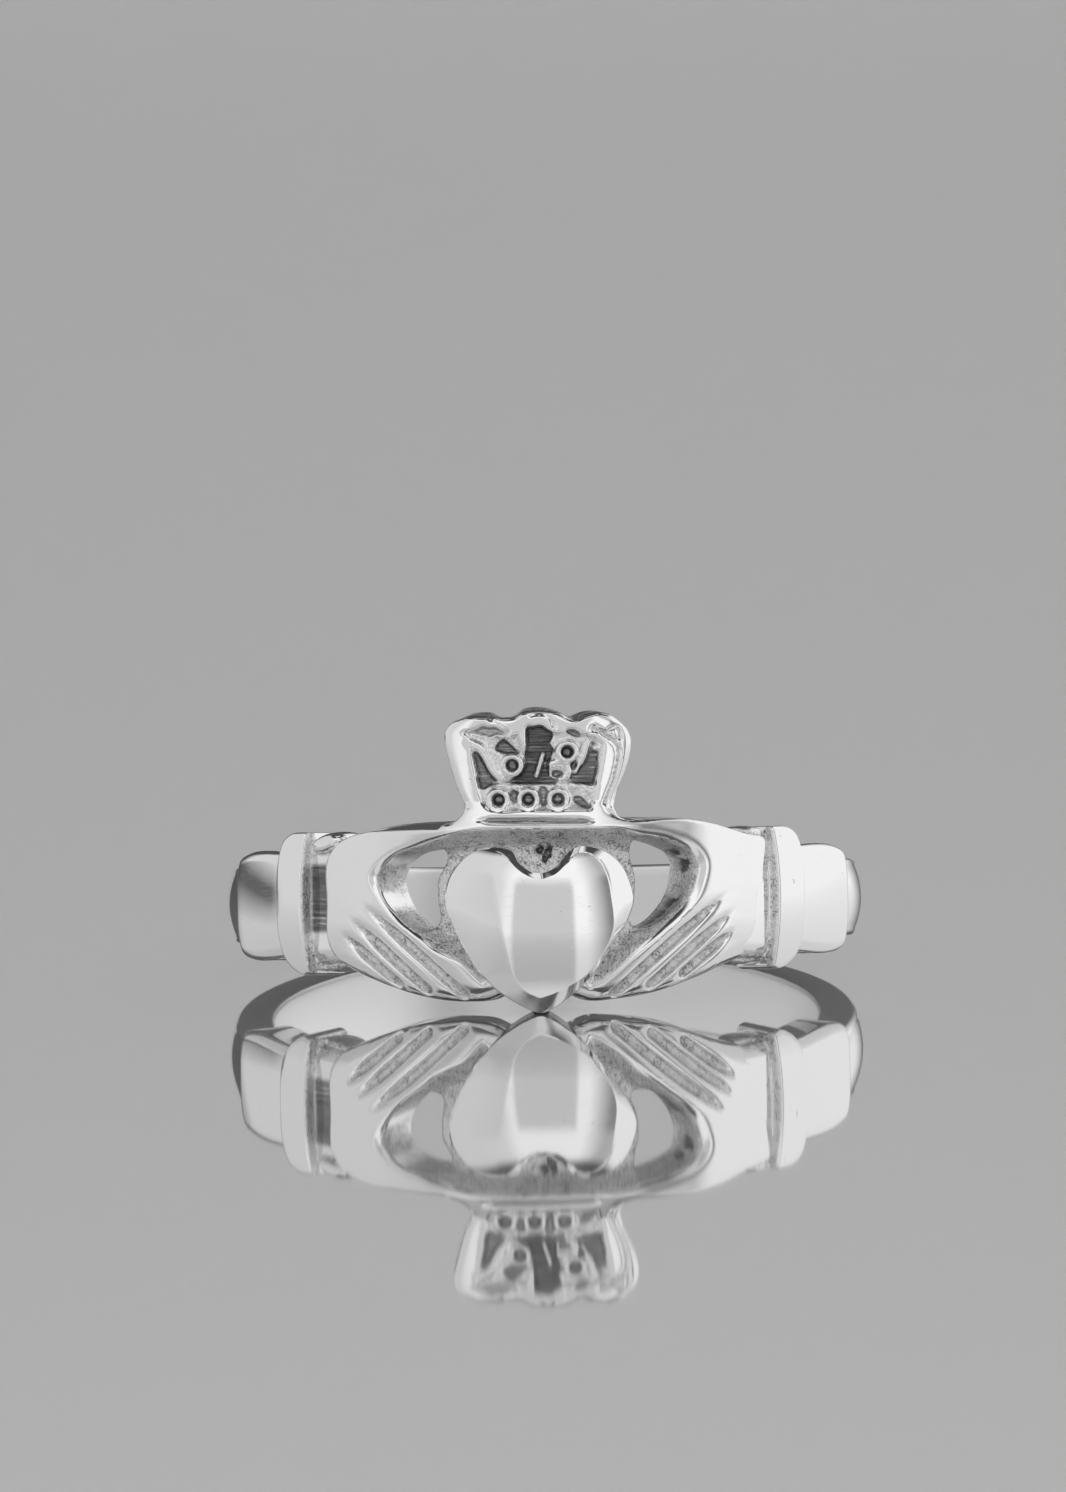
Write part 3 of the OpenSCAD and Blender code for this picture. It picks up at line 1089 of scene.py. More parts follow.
    def fingers(
        self, flat: np.ndarray, depth: np.ndarray, grain: np.ndarray, inside: np.ndarray
    ) -> tuple[np.ndarray, np.ndarray]:
        """Adds the grooves between the fingers, each in a shallow hollow, where no panel is.

        Args:
            flat: places on the plate.
            depth: how deep each place is so far.
            grain: how sandy it is so far.
            inside: how far inside the panels' rim it is.

        Returns:
            The new depths and the new grain.
        """
        for ends in self.grooves:
            gap, share = line_distance(flat, np.array(ends))
            start = ease(-0.04, 0.42, share)
            half = 0.022 + 0.073 * ease(0.0, 0.5, share)
            finger = self.finger_d * ease(0.46, 0.08, gap) * start
            groove = self.groove_d * ease(half + 0.11, half, gap) * start
            depth = np.where(inside > 0, depth, np.maximum(depth, finger + groove))
            grain = np.maximum(grain, ease(half + 0.07, half, gap) * ease(0.05, 0.3, start))
        return depth, grain

    def hollow(self, flat: np.ndarray) -> np.ndarray:
        """The ragged hollow that the casting left over the heart's notch.

        Args:
            flat: places on the plate.

        Returns:
            How far each place lies in it, from 0 to 1.
        """
        inside = np.zeros(len(flat))
        near = np.where((np.abs(flat[:, 0] - 0.2) < 0.8) & (np.abs(flat[:, 1] - 1.36) < 0.7))[0]
        s, a = flat[near].T
        uneven = 0.6 * cast_noise(np.c_[s, a, np.zeros(len(s))], 7.0, 2.0)
        for s0, a0, wide, tall in self.hollow_spots:
            gap = np.hypot((s - s0) / wide, (a - a0) / tall) + uneven
            inside[near] = np.maximum(inside[near], ease(1.1, 0.2, gap))
        return inside

    def sunk_line(self, flat: np.ndarray) -> tuple[np.ndarray, np.ndarray]:
        """The line along the rail, which runs out to a point at both ends.

        Args:
            flat: places on the plate.

        Returns:
            How deep and how dark each place is.
        """
        gap, share = line_distance(flat, np.array(self.rail_line))
        half = 0.095 * np.sqrt(np.clip(1 - (2 * share - 1) ** 6, 0, 1))
        half = half * ease(0.0, 0.12, share) * ease(1.0, 0.94, share)
        return self.line_d * ease(half + 0.05, half - 0.03, gap), 0.72 * ease(half + 0.02, half - 0.02, gap)

    def carving(self, s: np.ndarray, a: np.ndarray) -> tuple[np.ndarray, np.ndarray, np.ndarray]:
        """All the carving of the face.

        Args:
            s: places across the plate.
            a: places along the finger.

        Returns:
            How deep, how sandy and how dark with file marks each place is.
        """
        flat = np.c_[s, a]
        depth, grain = self.fingers(flat, *self.panels(flat))
        hollow = self.hollow(flat)
        line, line_dark = self.sunk_line(flat)
        crown_depth, crown_grain, crown_dark = crown_relief(s, a)
        depth = depth + self.hollow_d * hollow + line + crown_depth
        dark = np.maximum.reduce([0.82 * ease(0.05, 0.4, hollow), line_dark, crown_dark])
        return depth, np.maximum(grain, crown_grain), dark

    def stain_marks(self, points: np.ndarray) -> np.ndarray:
        """The dark stains on the right opening's wall.

        Args:
            points: places in the plate.

        Returns:
            How far each place lies in a stain, from 0 to 1.
        """
        marks = np.zeros(len(points))
        near = np.where((points[:, 0] > 3.4) & (points[:, 0] < 5.4) & (np.abs(points[:, 1]) < 1.6))[0]
        uneven = 0.45 * cast_noise(points[near], SKIN_PER_MM, 9.0)
        for stain in self.stains:
            middle, size = np.array(stain[:3]), np.array(stain[3:])
            gap = np.linalg.norm((points[near] - middle) / size, axis=1) + uneven
            marks[near] = np.maximum(marks[near], ease(1.05, 0.75, gap))
        return marks

    def carve(self, piece: bpy.types.Object) -> None:
        """Carves the face of the welded blank. The crown's back keeps its plain side.

        Args:
            piece: the blank, still flat.
        """
        p = points_of(piece)
        depth, _, _ = self.carving(p[:, 0], p[:, 1])
        still = 0.5 * ease(2.45, 2.75, p[:, 1])
        share = 1 - np.clip(depth, 0, self.hand_t * 0.8) / (self.hand_t - still)
        p[:, 2] = np.where(p[:, 2] > still, still + (p[:, 2] - still) * share, p[:, 2])
        set_points(piece, p)

    def dress(self, piece: bpy.types.Object) -> np.ndarray:
        """Marks where the casting skin, the dark recesses, the satin side and the stains are.

        Args:
            piece: the carved plate, still flat.

        Returns:
            How sandy each point is.
        """
        p = points_of(piece)
        s, a, h = p.T
        _, grain, dark = self.carving(s, a)
        below = self.hand_t - h
        front = np.where(a > 2.6, ease(0.75, 0.95, h), ease(0.05, 0.2, h))
        rim_side = np.minimum(1, 0.55 * ease(0.10, 0.22, below)) * ease(0.05, 0.12, h)
        edge = depth_inside(np.c_[s, a], self.outline(), 0.3)
        upper_side = ease(0.10, 0.02, edge) * (a > 1.2) * rim_side
        sandy = np.maximum(grain * front, upper_side * ease(0.03, 0.12, h))
        mark(piece, "grain", sandy)
        mark(piece, "satin", ease(0.12, 0.04, h))
        mark(piece, "filed", dark * ease(0.03, 0.09, below) * front)
        mark(piece, "stain", self.stain_marks(p) * ease(0.2, 0.35, below))
        return sandy

    def build(self) -> bpy.types.Object:
        """Welds hands and crown, carves the face and bends the plate round the finger.

        Returns:
            The plate.
        """
        blank = weld("front", [self.base(), self.crown_blank()], self.grid * 1.15, 0)
        self.carve(blank)
        piece = weld("hands_and_crown", [blank], self.grid, 2)
        sandy = self.dress(piece)
        p = points_of(piece)
        s, a, h = p.T
        group = piece.vertex_groups.new(name="finger side")
        group.add([int(i) for i in np.where(h < self.plain_below)[0]], 1.0, "REPLACE")
        skin = cast_noise(p, SKIN_PER_MM, 1.0) * self.skin * sandy
        height = (h + skin) * self.face(s, a) / self.hand_t
        wider = s * (1 + self.crown_wider * ease(2.5, 3.1, a))
        turn = np.arcsin(np.clip(wider / self.face_r, -0.99, 0.99))
        set_points(piece, self.ring.settle(self.ring.bend(turn, a, height)))
        self.thin(piece)
        return piece

    def thin(self, piece: bpy.types.Object) -> None:
        """Keeps fewer triangles on the plain side towards the finger.

        Args:
            piece: the bent plate, with that side in a vertex group.
        """
        total = triangles(piece)
        log.info("%s: %d triangles before thinning", piece.name, total)
        if total > self.most:
            share = self.most / total
            finish_with(piece, "DECIMATE", ratio=share, vertex_group="finger side", vertex_group_factor=4.0)
        piece.vertex_groups.clear()


# The crown's tables are in mm: across from the middle and up from the middle of the band. A pocket has its
# depth and how dark it is, a ridge its half width and how far it stays below the face, and a groove its half
# width and depth. A cap has its place across and how far it slopes back.
CROWN_EDGE: Rows = [
    (-3.0, 2.1), (-3.0, 2.1), (-2.95, 2.26), (-2.72, 2.31), (-2.48, 2.45), (-2.33, 2.62), (-2.29, 2.80),
    (-2.46, 3.23), (-2.58, 3.59), (-2.69, 3.98), (-2.79, 4.37), (-2.88, 4.87), (-2.86, 5.12), (-2.73, 5.35),
    (-2.55, 5.49), (-2.39, 5.58), (-2.08, 5.72), (-1.69, 5.75), (-1.42, 5.72), (-1.23, 5.62), (-1.03, 5.58),
    (-0.80, 5.60), (-0.62, 5.70), (-0.45, 5.82), (-0.25, 5.87), (-0.02, 5.89), (0.21, 5.87), (0.45, 5.83),
    (0.66, 5.76), (0.85, 5.67), (1.06, 5.59), (1.22, 5.63), (1.41, 5.71), (1.61, 5.75), (1.88, 5.75),
    (2.11, 5.69), (2.34, 5.60), (2.57, 5.43), (2.76, 5.24), (2.89, 5.02), (2.94, 4.77), (2.92, 4.48),
    (2.84, 4.13), (2.72, 3.78), (2.59, 3.47), (2.47, 3.16), (2.43, 2.93), (2.41, 2.70), (2.53, 2.50),
    (2.76, 2.40), (3.06, 2.34), (3.1, 2.1), (3.1, 2.1),
]
CROWN_CAPS: Rows = [
    (-2.62, 0.0), (-2.3, 0.09), (-1.7, 0.19), (-1.38, 0.17), (-1.22, 0.02), (-0.86, 0.02), (-0.68, 0.11),
    (-0.1, 0.18), (0.4, 0.13), (0.8, 0.03), (1.02, 0.08), (1.25, 0.22), (1.65, 0.15), (1.95, 0.04), (2.3, 0.0),
]
CROWN_POCKETS: dict[str, tuple[float, float, Rows]] = {
    "slot": (0.32, 0.85, [
        (-1.95, 4.52), (-1.82, 4.49), (-1.67, 4.31), (-1.54, 4.03), (-1.37, 3.76), (-1.21, 3.58),
        (-1.84, 3.59), (-1.82, 3.73), (-1.87, 3.96), (-1.93, 4.23),
    ]),
    "pit": (0.34, 0.9, [
        (-1.20, 4.78), (-1.04, 4.88), (-0.86, 4.78), (-0.68, 4.62), (-0.50, 4.42), (-0.66, 4.38),
        (-0.90, 4.42), (-1.12, 4.46), (-1.30, 4.56),
    ]),
    "leaf": (0.25, 0.6, [
        (-2.24, 5.1), (-2.01, 5.15), (-1.81, 5.22), (-1.62, 5.29), (-1.44, 5.24), (-1.27, 5.25), (-1.04, 5.14),
        (-0.84, 5.02), (-1.04, 5.0), (-1.23, 5.03), (-1.41, 4.94), (-1.58, 4.98), (-1.82, 5.04), (-2.05, 5.04),
    ]),
    "panel": (0.32, 1.0, [
        (-0.3, 5.25), (-0.1, 5.23), (0.13, 5.28), (0.32, 5.15), (0.53, 4.97), (0.41, 4.72), (0.53, 4.58),
        (0.46, 4.31), (0.44, 4.12), (0.38, 4.0), (0.4, 3.69), (0.26, 3.54), (-0.67, 3.55), (-0.9, 3.61),
        (-0.67, 3.71), (-0.47, 3.86), (-0.35, 4.17), (-0.4, 4.36), (-0.31, 4.55), (-0.3, 4.86),
    ]),
    "dash": (0.26, 0.8, [
        (0.9, 5.11), (1.13, 5.15), (1.33, 5.04), (1.44, 4.88), (1.27, 4.88), (1.02, 4.97),
    ]),
    "right field": (0.32, 0.9, [
        (1.02, 4.12), (1.10, 4.22), (1.24, 4.32), (1.36, 4.70), (1.52, 4.82), (1.70, 4.78), (1.88, 4.72),
        (1.93, 4.53), (1.89, 4.26), (1.84, 3.83), (1.78, 3.62), (1.79, 3.40), (1.65, 3.44), (1.23, 3.50),
        (1.02, 3.60), (1.04, 3.86),
    ]),
    "crescent": (0.34, 0.8, [
        (0.46, 3.89), (0.65, 3.9), (0.81, 3.84), (0.79, 3.67), (0.49, 3.65),
    ]),
    "row": (0.34, 0.9, [
        (-1.84, 3.73), (-1.37, 3.56), (-0.67, 3.63), (0.34, 3.69), (1.04, 3.61), (1.77, 3.68), (1.75, 3.44),
        (1.27, 3.47), (0.34, 3.46), (-0.83, 3.48), (-1.8, 3.5),
    ]),
    "left nook": (0.33, 0.8, [
        (-1.75, 3.58), (-1.45, 3.55), (-1.58, 3.34), (-1.78, 3.36),
    ]),
    "slit": (0.30, 0.75, [
        (-0.80, 3.36), (-0.60, 3.34), (-0.62, 2.92), (-0.78, 2.92),
    ]),
    "slit right": (0.30, 0.75, [
        (0.10, 3.42), (0.28, 3.38), (0.27, 2.78), (0.13, 2.78),
    ]),
    "half bead": (0.30, 0.8, [
        (1.11, 3.06), (1.3, 3.1), (1.49, 2.98), (1.63, 2.82), (1.66, 2.69), (1.45, 2.71), (1.26, 2.79),
        (1.12, 2.91),
    ]),
}
CROWN_FIELD: Rows = [
    (-2.02, 4.62), (-1.95, 4.05), (-1.86, 3.55), (-1.76, 3.1), (-1.55, 2.74), (-0.3, 2.66), (1.0, 2.66),
    (1.62, 2.72), (1.78, 3.1), (1.86, 3.6), (1.98, 4.2), (2.0, 4.75), (1.6, 4.98), (0.7, 5.04), (0.2, 5.2),
    (-0.3, 5.3), (-0.75, 4.95), (-1.3, 4.98), (-2.1, 5.02),
]
CROWN_BEADS: Rows = [(-0.76, 4.06), (0.94, 4.46), (-1.2, 3.0), (-0.28, 3.0), (0.64, 2.99)]
CROWN_STUDS: Rows = [(1.07, 3.41), (-0.67, 3.38), (1.82, 4.57)]
CROWN_RIDGES: list[tuple[float, float, Rows]] = [
    (0.16, 0.02, [
        (-2.05, 4.78), (-1.72, 4.58), (-1.50, 4.22), (-1.33, 3.90), (-1.10, 3.66),
    ]),
    (0.06, 0.16, [
        (0.19, 4.39), (-0.02, 3.74),
    ]),
    (0.12, 0.10, [
        (1.56, 4.72), (1.45, 4.36), (1.36, 4.16),
    ]),
    (0.05, 0.12, [
        (1.36, 4.16), (1.20, 3.84),
    ]),
    (0.12, 0.05, [
        (0.46, 4.08), (0.70, 4.12), (0.90, 4.02), (0.98, 3.84), (0.90, 3.68), (0.72, 3.60),
    ]),
]
CROWN_GROOVES: list[tuple[float, float, Rows]] = [
    (0.045, 0.10, [
        (1.68, 5.13), (1.74, 5.23), (1.91, 5.14), (2.1, 5.07), (2.33, 5.2), (2.47, 5.16), (2.54, 4.87),
    ]),
    (0.04, 0.07, [
        (2.46, 4.83), (2.18, 4.95), (1.89, 5.07), (1.69, 5.09),
    ]),
    (0.05, 0.10, [
        (2.02, 4.97), (2.25, 4.83), (2.44, 4.64), (2.5, 4.41), (2.48, 4.19), (2.4, 3.82), (2.31, 3.52),
        (2.17, 3.17), (2.07, 2.86),
    ]),
    (0.035, 0.07, [
        (-0.18, 5.59), (0.1, 5.64), (0.33, 5.58), (0.48, 5.44), (0.57, 5.18),
    ]),
    (0.04, 0.08, [
        (2.07, 2.86), (2.2, 2.6), (2.6, 2.42), (3.3, 2.33),
    ]),
    (0.035, 0.06, [
        (-1.42, 5.5), (-1.1, 5.3), (-0.85, 5.1),
    ]),
]
CROWN_TONGUE: Rows = [
    (-0.7, 5.65), (-0.45, 5.68), (-0.25, 5.6), (-0.29, 5.25), (-0.32, 4.86), (-0.35, 4.52), (-0.42, 4.43),
    (-0.5, 4.71), (-0.63, 5.22),
]


def crown_relief(s: np.ndarray, a: np.ndarray) -> tuple[np.ndarray, np.ndarray, np.ndarray]:
    """The crown's carving: sunk field, pockets, beads with drilled centres, ridges and engraved lines.

    Args:
        s: places across the plate.
        a: places along the finger.

    Returns:
        How deep, how sandy and how file-marked each place is.
    """
    depth, grain, filed = (np.zeros(len(s)) for _ in range(3))
    here = np.where((a > 2.3) & (np.abs(s) < 3.4))[0]
    flat = np.c_[s, a][here]
    field = ease(-0.05, 0.09, depth_inside(flat, smooth_line(CROWN_FIELD, 90), 0.3))
    deep, sand = 0.15 * field, 0.45 * field
    file_marks = np.zeros(len(here))
    for sunk, dark, rows in CROWN_POCKETS.values():
        inside = depth_inside(flat, smooth_line(rows, 60), 0.3)
        deep = np.maximum(deep, sunk * ease(-0.05, 0.06, inside))
        floor = ease(-0.01, 0.06, inside)
        file_marks = np.maximum(file_marks, dark * floor)
        sand = sand * (1 - floor) + 0.35 * floor
    for width, below, rows in CROWN_RIDGES:
        gap, _ = line_distance(flat, smooth_line(rows, 30, closed=False))
        top = ease(width + 0.06, width * 0.3, gap)
        deep = deep * (1 - top) + below * top
        sand *= 1 - 0.75 * top
        file_marks *= 1 - ease(width + 0.03, width, gap)
    tongue = ease(-0.06, 0.08, depth_inside(flat, smooth_line(CROWN_TONGUE, 60), 0.3))
    deep = deep * (1 - tongue)
    sand *= 1 - tongue
    file_marks *= 1 - tongue
    for at in CROWN_BEADS:
        gap = np.hypot(*(flat - at).T)
        bead = ease(0.40, 0.33, gap)
        crest = 0.09 - 0.09 * np.sqrt(np.clip(1 - ((gap - 0.27) / 0.12) ** 2, 0, 1))
        deep = deep * (1 - bead) + crest * bead + 0.26 * ease(0.22, 0.13, gap)
        sand = np.maximum(sand * (1 - bead), bead * 0.12)
        file_marks *= 1 - ease(0.40, 0.36, gap)
        file_marks = np.maximum(file_marks, 0.8 * ease(0.21, 0.16, gap))
    for at in CROWN_STUDS:
        gap = np.hypot(*(flat - at).T)
        stud = ease(0.16, 0.07, gap)
        deep = deep * (1 - stud) + 0.04 * stud
        sand *= 1 - 0.6 * stud
        file_marks *= 1 - stud
    for width, sunk, rows in CROWN_GROOVES:
        gap, _ = line_distance(flat, smooth_line(rows, 40, closed=False))
        line = ease(width + 0.05, width * 0.3, gap)
        deep = deep + sunk * line
        file_marks = np.maximum(file_marks, 0.35 * line)
    edge = depth_inside(flat, smooth_line(CROWN_EDGE, 420), 0.4)
    deep = deep + 0.10 * ease(0.34, 0.0, edge) ** 2 * (flat[:, 1] > 2.75)
    depth[here], grain[here], filed[here] = deep, sand, file_marks
    return depth, grain, filed


@dataclass
class Heart:
    """The puffed heart: a gently domed table inside bevels, on straight sides, in mm."""

    ring: RingFrame
    crest_r: float = 11.28
    middle: tuple[float, float] = (0.25, -0.75)
    round_across: float = 5.2
    round_along: float = 5.6
    edge_r: float = 10.62
    tip_r: float = 10.40
    foot: float = 0.75
    notch_bevel: float = 0.17
    crease_at: float = 0.93
    crease_d: float = 0.028
    centre: tuple[float, float] = (0.35, -0.85)
    side_grain: float = 0.35
    sharp_deg: float = 28.0
    count: int = 320
    edge_left: Spots = (
        (0.11, 0.68), (-0.23, 0.75), (-0.6, 1.03), (-0.81, 1.40), (-1.18, 1.51), (-1.50, 1.52), (-1.93, 1.42),
        (-2.30, 1.20), (-2.62, 0.86), (-2.81, 0.52), (-2.90, 0.12), (-2.88, -0.3), (-2.66, -0.92),
        (-2.38, -1.50), (-2.09, -2.02), (-1.74, -2.5), (-1.34, -2.9), (-0.89, -3.22), (-0.39, -3.5),
        (-0.06, -3.64), (0.02, -3.65),
    )
    edge_right: Spots = (
        (0.02, -3.65), (0.1, -3.64), (0.42, -3.5), (0.75, -3.28), (1.2, -2.93), (1.57, -2.54), (1.89, -2.12),
        (2.22, -1.63), (2.54, -1.15), (2.81, -0.65), (2.95, -0.15), (2.88, 0.27), (2.61, 0.9), (2.16, 1.31),
        (1.71, 1.48), (1.33, 1.52), (1.04, 1.41), (0.76, 1.11), (0.48, 0.83), (0.11, 0.68),
    )
    table_left: Spots = (
        (0.14, 0.50), (-0.23, 0.57), (-0.62, 0.80), (-0.90, 1.12), (-1.14, 1.32), (-1.34, 1.22), (-1.40, 0.68),
        (-1.25, -0.22), (-1.13, -1.13), (-0.96, -1.86), (-0.78, -2.54), (-0.43, -2.95), (0.02, -3.16),
    )
    table_right: Spots = (
        (0.02, -3.16), (0.48, -3.03), (1.03, -2.76), (1.40, -2.52), (1.71, -2.15), (2.12, -1.55), (2.32, -0.9),
        (2.26, -0.09), (2.11, 0.64), (1.88, 1.02), (1.52, 1.30), (1.2, 1.24), (0.89, 0.97), (0.57, 0.67),
        (0.14, 0.50),
    )

    def halves(self, left: Spots, right: Spots) -> np.ndarray:
        """Joins the two halves of an outline, with half of the points on each.

        Args:
            left: the half from the notch down to the tip.
            right: the half from the tip up to the notch.

        Returns:
            The outline's points.
        """
        half = self.count // 2
        lines = [smooth_line(list(rows), half + 1, closed=False)[:-1] for rows in (left, right)]
        return np.vstack(lines)

    def table_y(self, line: np.ndarray) -> np.ndarray:
        """The domed table.

        Args:
            line: places as seen from the front.

        Returns:
            How far in front of the axis it lies at each place.
        """
        x, a = (line - self.middle).T
        drop = x**2 / (2 * self.round_across) + a**2 / (2 * self.round_along)
        lobes = 0.10 * np.maximum(line[:, 1] - 0.55, 0) ** 2
        return self.crest_r - drop - lobes

    def edge_y(self, line: np.ndarray) -> np.ndarray:
        """The outer edge of the bevels, which draws back towards the tip.

        Args:
            line: places as seen from the front.

        Returns:
            How far in front of the axis it lies at each place.
        """
        r = self.edge_r + (self.tip_r - self.edge_r) * ease(-2.4, -3.5, line[:, 1])
        return np.sqrt(r**2 - line[:, 0] ** 2)

    def sections(self) -> list[Section]:
        """The heart's outlines, from its foot in the plate over the bevels to the middle of the table.

        Returns:
            Each outline with how far in front of the axis it lies.
        """
        edge = self.halves(self.edge_left, self.edge_right)
        table = self.halves(self.table_left, self.table_right)
        x, a = edge.T
        notch = ease(1.15, 0.75, np.abs(x - 0.1)) * ease(0.3, 0.6, a)
        edge_y = self.edge_y(edge) * (1 - notch) + (self.table_y(table) - self.notch_bevel) * notch
        edge_y = np.minimum(edge_y, self.table_y(edge) - 0.05)
        foot_y = np.sqrt((self.ring.bore + self.foot) ** 2 - x**2)
        foot = edge * np.c_[foot_y / edge_y, np.ones(len(edge))]
        soft = ease(-0.4, -1.2, x) * ease(-3.2, -2.2, a)
        crease = ease(0.9, 1.5, x) * ease(-3.0, -2.4, a)
        rows: list[Section] = [(foot, foot_y), (edge * 0.35 + foot * 0.65, edge_y * 0.35 + foot_y * 0.65)]
        rows.append((edge, edge_y - 0.05))
        for share in (0.03, 0.10, 0.25, 0.45, 0.65, 0.82, self.crease_at, 1.0):
            rise = self.table_y(table) - edge_y
            sharp = edge_y + rise * share
            if share == self.crease_at:
                sharp = sharp - self.crease_d * crease
            gentle = edge_y + rise * (1.2 * share - 0.2 * share**2)
            rows.append((edge + (table - edge) * share, sharp * (1 - soft) + gentle * soft))
        centre = np.array(self.centre)
        for share in (0.97, 0.92, 0.85, 0.76, 0.66, 0.56, 0.46, 0.36, 0.26, 0.17, 0.09, 0.03):
            line = centre + (table - centre) * share
            rows.append((line, self.table_y(line)))
        return rows

    def build(self) -> bpy.types.Object:
        """Lofts the heart and sets its tip on the ground.

        Returns:
            The heart.
        """
        piece = loft("heart", self.sections())
        x, a, ahead = points_of(piece).T
        placed = self.ring.settle(np.c_[x, -ahead, a])
        placed[:, 2] = np.maximum(placed[:, 2], 0)
        set_points(piece, placed)
        faces_out(piece)
        limit = np.sqrt(np.maximum(self.edge_r**2 - x**2, 0)) - 0.18
        mark(piece, "grain", self.side_grain * ease(0.0, -0.25, ahead - limit + 0.05))
        mark(piece, "filed", np.zeros(len(x)))
        pick(piece)
        bpy.ops.object.shade_smooth_by_angle(angle=math.radians(self.sharp_deg))
        return piece


# ---- the studio


@dataclass(frozen=True)
class TentFinish:
    """The light tent's glow by direction: bright sides, a grey card round the camera, a dark top and a softbox.

    Its azimuth counts from the camera, positive to the right, and its height from the floor, both in degrees.
    """

    left: float = 0.68
    right: float = 0.93
    card: float = 0.60
    dark: float = 0.07
    softbox: float = 0.9

    def material(self) -> bpy.types.Material:
        """Builds the glowing material.

        Returns:
            The material.
        """
        sheet = NodeSheet("light tent")
        place = sheet.add("TexCoord").outputs["Object"]
        way = sheet.add("VectorMath", {0: place}, operation="NORMALIZE").outputs[0]
        axes = sheet.add("SeparateXYZ", {0: way}).outputs
        turn = sheet.math("ARCTAN2", axes[0], sheet.math("MULTIPLY", axes[1], -1.0))
        azimuth = sheet.math("ADD", sheet.math("MULTIPLY", turn, 1 / (2 * math.pi)), 0.5)
        height = sheet.math("MULTIPLY", sheet.math("ARCSINE", axes[2]), 2 / math.pi)

        def around(*stops: tuple[float, float]) -> bpy.types.NodeSocket:
            """The socket of levels by azimuth."""
            return sheet.ramp(azimuth, [((degrees + 180) / 360, level) for degrees, level in stops])

        def upwards(*stops: tuple[float, float]) -> bpy.types.NodeSocket:
            """The socket of levels by height."""
            return sheet.ramp(height, [(degrees / 90, level) for degrees, level in stops])

        low_walls = around(
            (-60, self.left), (-48, 0.62), (-33, 0.72), (-28, 0.90), (-25, 0.90), (-22.5, self.card),
            (17, self.card), (19.5, 0.97), (26, 0.97), (41, 0.24), (49, 0.26), (60, self.right),
        )
        high_walls = around(
            (-60, self.left), (-36, 0.72), (-26, 0.95), (24, 0.97), (40, 0.45), (50, 0.50), (64, self.right)
        )
        walls = sheet.blend(upwards((28, 0.0), (35, 1.0)), low_walls, high_walls)
        top = upwards((52, 1.0), (62, self.dark), (74, self.dark), (80, self.softbox))
        behind_left = around((-146, 1.0), (-112, 1.0), (-100, 0.0))
        near_floor = upwards((1, 0.82), (6, 0.0))
        gap = sheet.math("SUBTRACT", 1.0, sheet.math("MULTIPLY", behind_left, near_floor))
        open_edge = around((-146, 0.1), (-134, 1.0), (150, 1.0), (168, 0.1))
        holes = sheet.math("MULTIPLY", gap, open_edge)
        level = sheet.math("MULTIPLY", sheet.math("MULTIPLY", walls, top), holes)
        return sheet.finish("Emission", {"Strength": level})


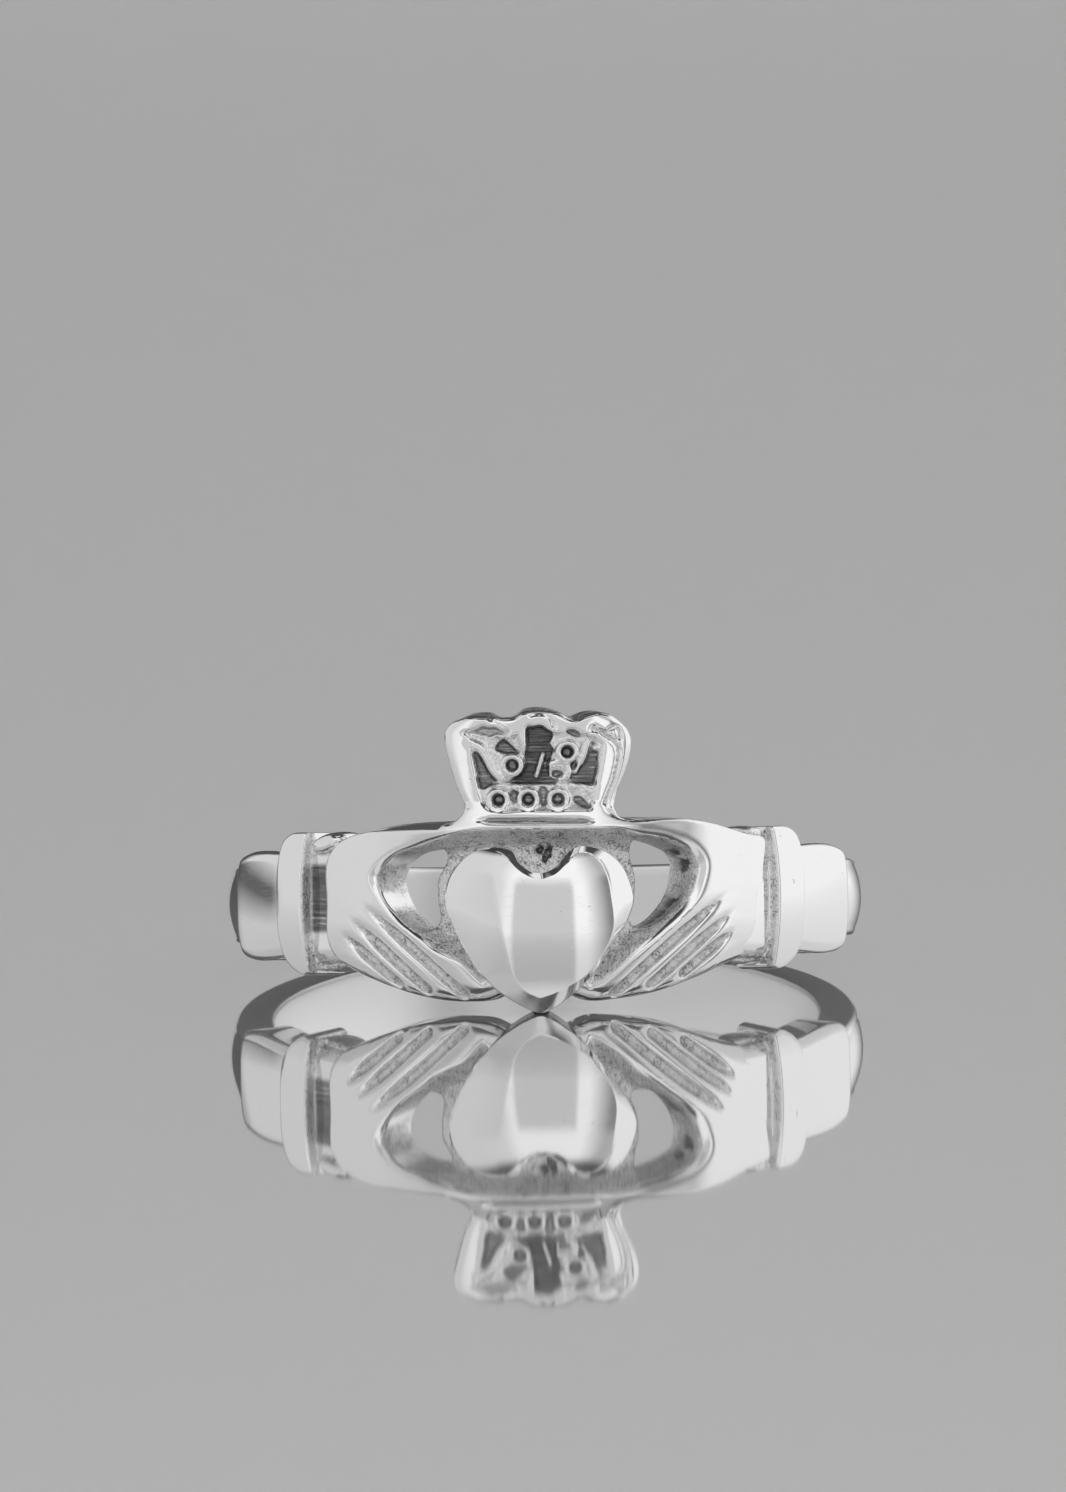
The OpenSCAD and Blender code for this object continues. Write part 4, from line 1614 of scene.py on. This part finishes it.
@dataclass
class Studio:
    """Pale polished floor and backdrop, a light tent round the ring and the camera, in metres and degrees."""

    floor: PlainFinish = PlainFinish("pale floor", 0.76, 0.03, mirror=0.8)
    backdrop: PlainFinish = PlainFinish("pale backdrop", 0.6, 0.8)
    tent: TentFinish = TentFinish()
    tent_r: float = 0.6
    tent_from_to: tuple[float, float] = (-146.0, 168.0)
    lamp_size: tuple[float, float] = (1.6, 0.3)
    lamp_watts: float = 4.5
    air: float = 0.08
    lens_mm: float = 303.63
    aim: tuple[float, ...] = (-0.000291, 0.000645, 0.00735)
    elevation_deg: float = 5.386
    yaw_deg: float = 1.082
    roll_deg: float = 0.906
    distance: float = 0.4

    def card(self, name: str, finish: PlainFinish, at: Vector, look: Vector, size: tuple[float, float]) -> None:
        """A flat sheet that faces a point.

        Args:
            name: its name.
            finish: its paint.
            at: its middle.
            look: the point.
            size: its width and height.
        """
        clear_selection()
        bpy.ops.mesh.primitive_plane_add(size=1)
        sheet = named(name)
        turn = (look - at).to_track_quat("Z", "Y").to_matrix().to_4x4()
        p = points_of(sheet) * (*size, 1)
        set_points(sheet, np.array([list(turn @ Vector(q) + at) for q in p]))
        sheet.data.materials.append(finish.material())

    def light_tent(self) -> None:
        """A glowing half dome round the ring, open at the back; only its light and its mirror image show."""
        clear_selection()
        bpy.ops.mesh.primitive_uv_sphere_add(segments=96, ring_count=48, radius=self.tent_r)
        dome = named("light_tent")
        bpy.ops.object.mode_set(mode="EDIT")
        bpy.ops.mesh.select_all(action="DESELECT")
        bpy.ops.object.mode_set(mode="OBJECT")
        for face in dome.data.polygons:
            x, y, z = face.center
            turn = math.degrees(math.atan2(x, -y))
            face.select = z < 0 or not self.tent_from_to[0] < turn < self.tent_from_to[1]
        bpy.ops.object.mode_set(mode="EDIT")
        bpy.ops.mesh.delete(type="FACE")
        bpy.ops.object.mode_set(mode="OBJECT")
        dome.data.materials.append(self.tent.material())
        dome.visible_camera = False

    def backdrop_light(self) -> None:
        """A soft light on the backdrop, turned away from the ring."""
        lamp = bpy.data.lights.new("backdrop light", "AREA")
        lamp.shape = "RECTANGLE"
        lamp.size, lamp.size_y = self.lamp_size
        lamp.energy = self.lamp_watts
        light = bpy.data.objects.new("backdrop light", lamp)
        bpy.context.scene.collection.objects.link(light)
        light.location = (0, 0.95, 0.55)
        way = Vector((0, 1.35, 0.1)) - light.location
        light.rotation_euler = way.to_track_quat("-Z", "Y").to_euler()

    def build(self) -> None:
        """Sets up floor, backdrop and lights."""
        self.card("floor", self.floor, Vector((0, 0.2, 0)), Vector((0, 0.2, 1)), (3.2, 3.2))
        self.card("backdrop", self.backdrop, Vector((0, 1.3, 0.13)), Vector((0, 0, 0.13)), (0.8, 0.26))
        self.light_tent()
        self.backdrop_light()
        world = bpy.data.worlds.new("studio air")
        bpy.context.scene.world = world
        world.use_nodes = True
        world.node_tree.nodes["Background"].inputs["Color"].default_value = (*(self.air,) * 3, 1)
        bpy.context.scene.view_settings.view_transform = "Standard"
        log.info("studio set up")

    def camera(self) -> None:
        """Sets the camera at the photograph's angle, with a long lens."""
        data = bpy.data.cameras.new("camera")
        data.sensor_width = 36
        data.lens = self.lens_mm
        data.clip_start, data.clip_end = 0.01, 10
        camera = bpy.data.objects.new("camera", data)
        bpy.context.scene.collection.objects.link(camera)
        up, yaw, roll = (math.radians(v) for v in (self.elevation_deg, self.yaw_deg, self.roll_deg))
        way = Vector((-math.sin(yaw) * math.cos(up), math.cos(yaw) * math.cos(up), -math.sin(up)))
        camera.location = Vector(self.aim) - way * self.distance
        turned = way.to_track_quat("-Z", "Y").to_matrix() @ Matrix.Rotation(-roll, 3, "Z")
        camera.rotation_euler = turned.to_euler()
        bpy.context.scene.camera = camera


def main() -> None:
    """Builds the ring piece by piece, then the studio."""
    logging.basicConfig(level=logging.INFO, format="%(name)s: %(message)s")
    ring = RingFrame.from_record(frame["record"])
    silver = SilverFinish().material()
    deliver(Band(ring).build(), silver)
    for side in Side:
        deliver(CuffAndSleeve(ring, side).build(), silver)
    deliver(FrontPlate(ring).build(), silver)
    deliver(Heart(ring).build(), silver)
    studio = Studio()
    studio.build()
    studio.camera()


if __name__ == "__main__":
    main()
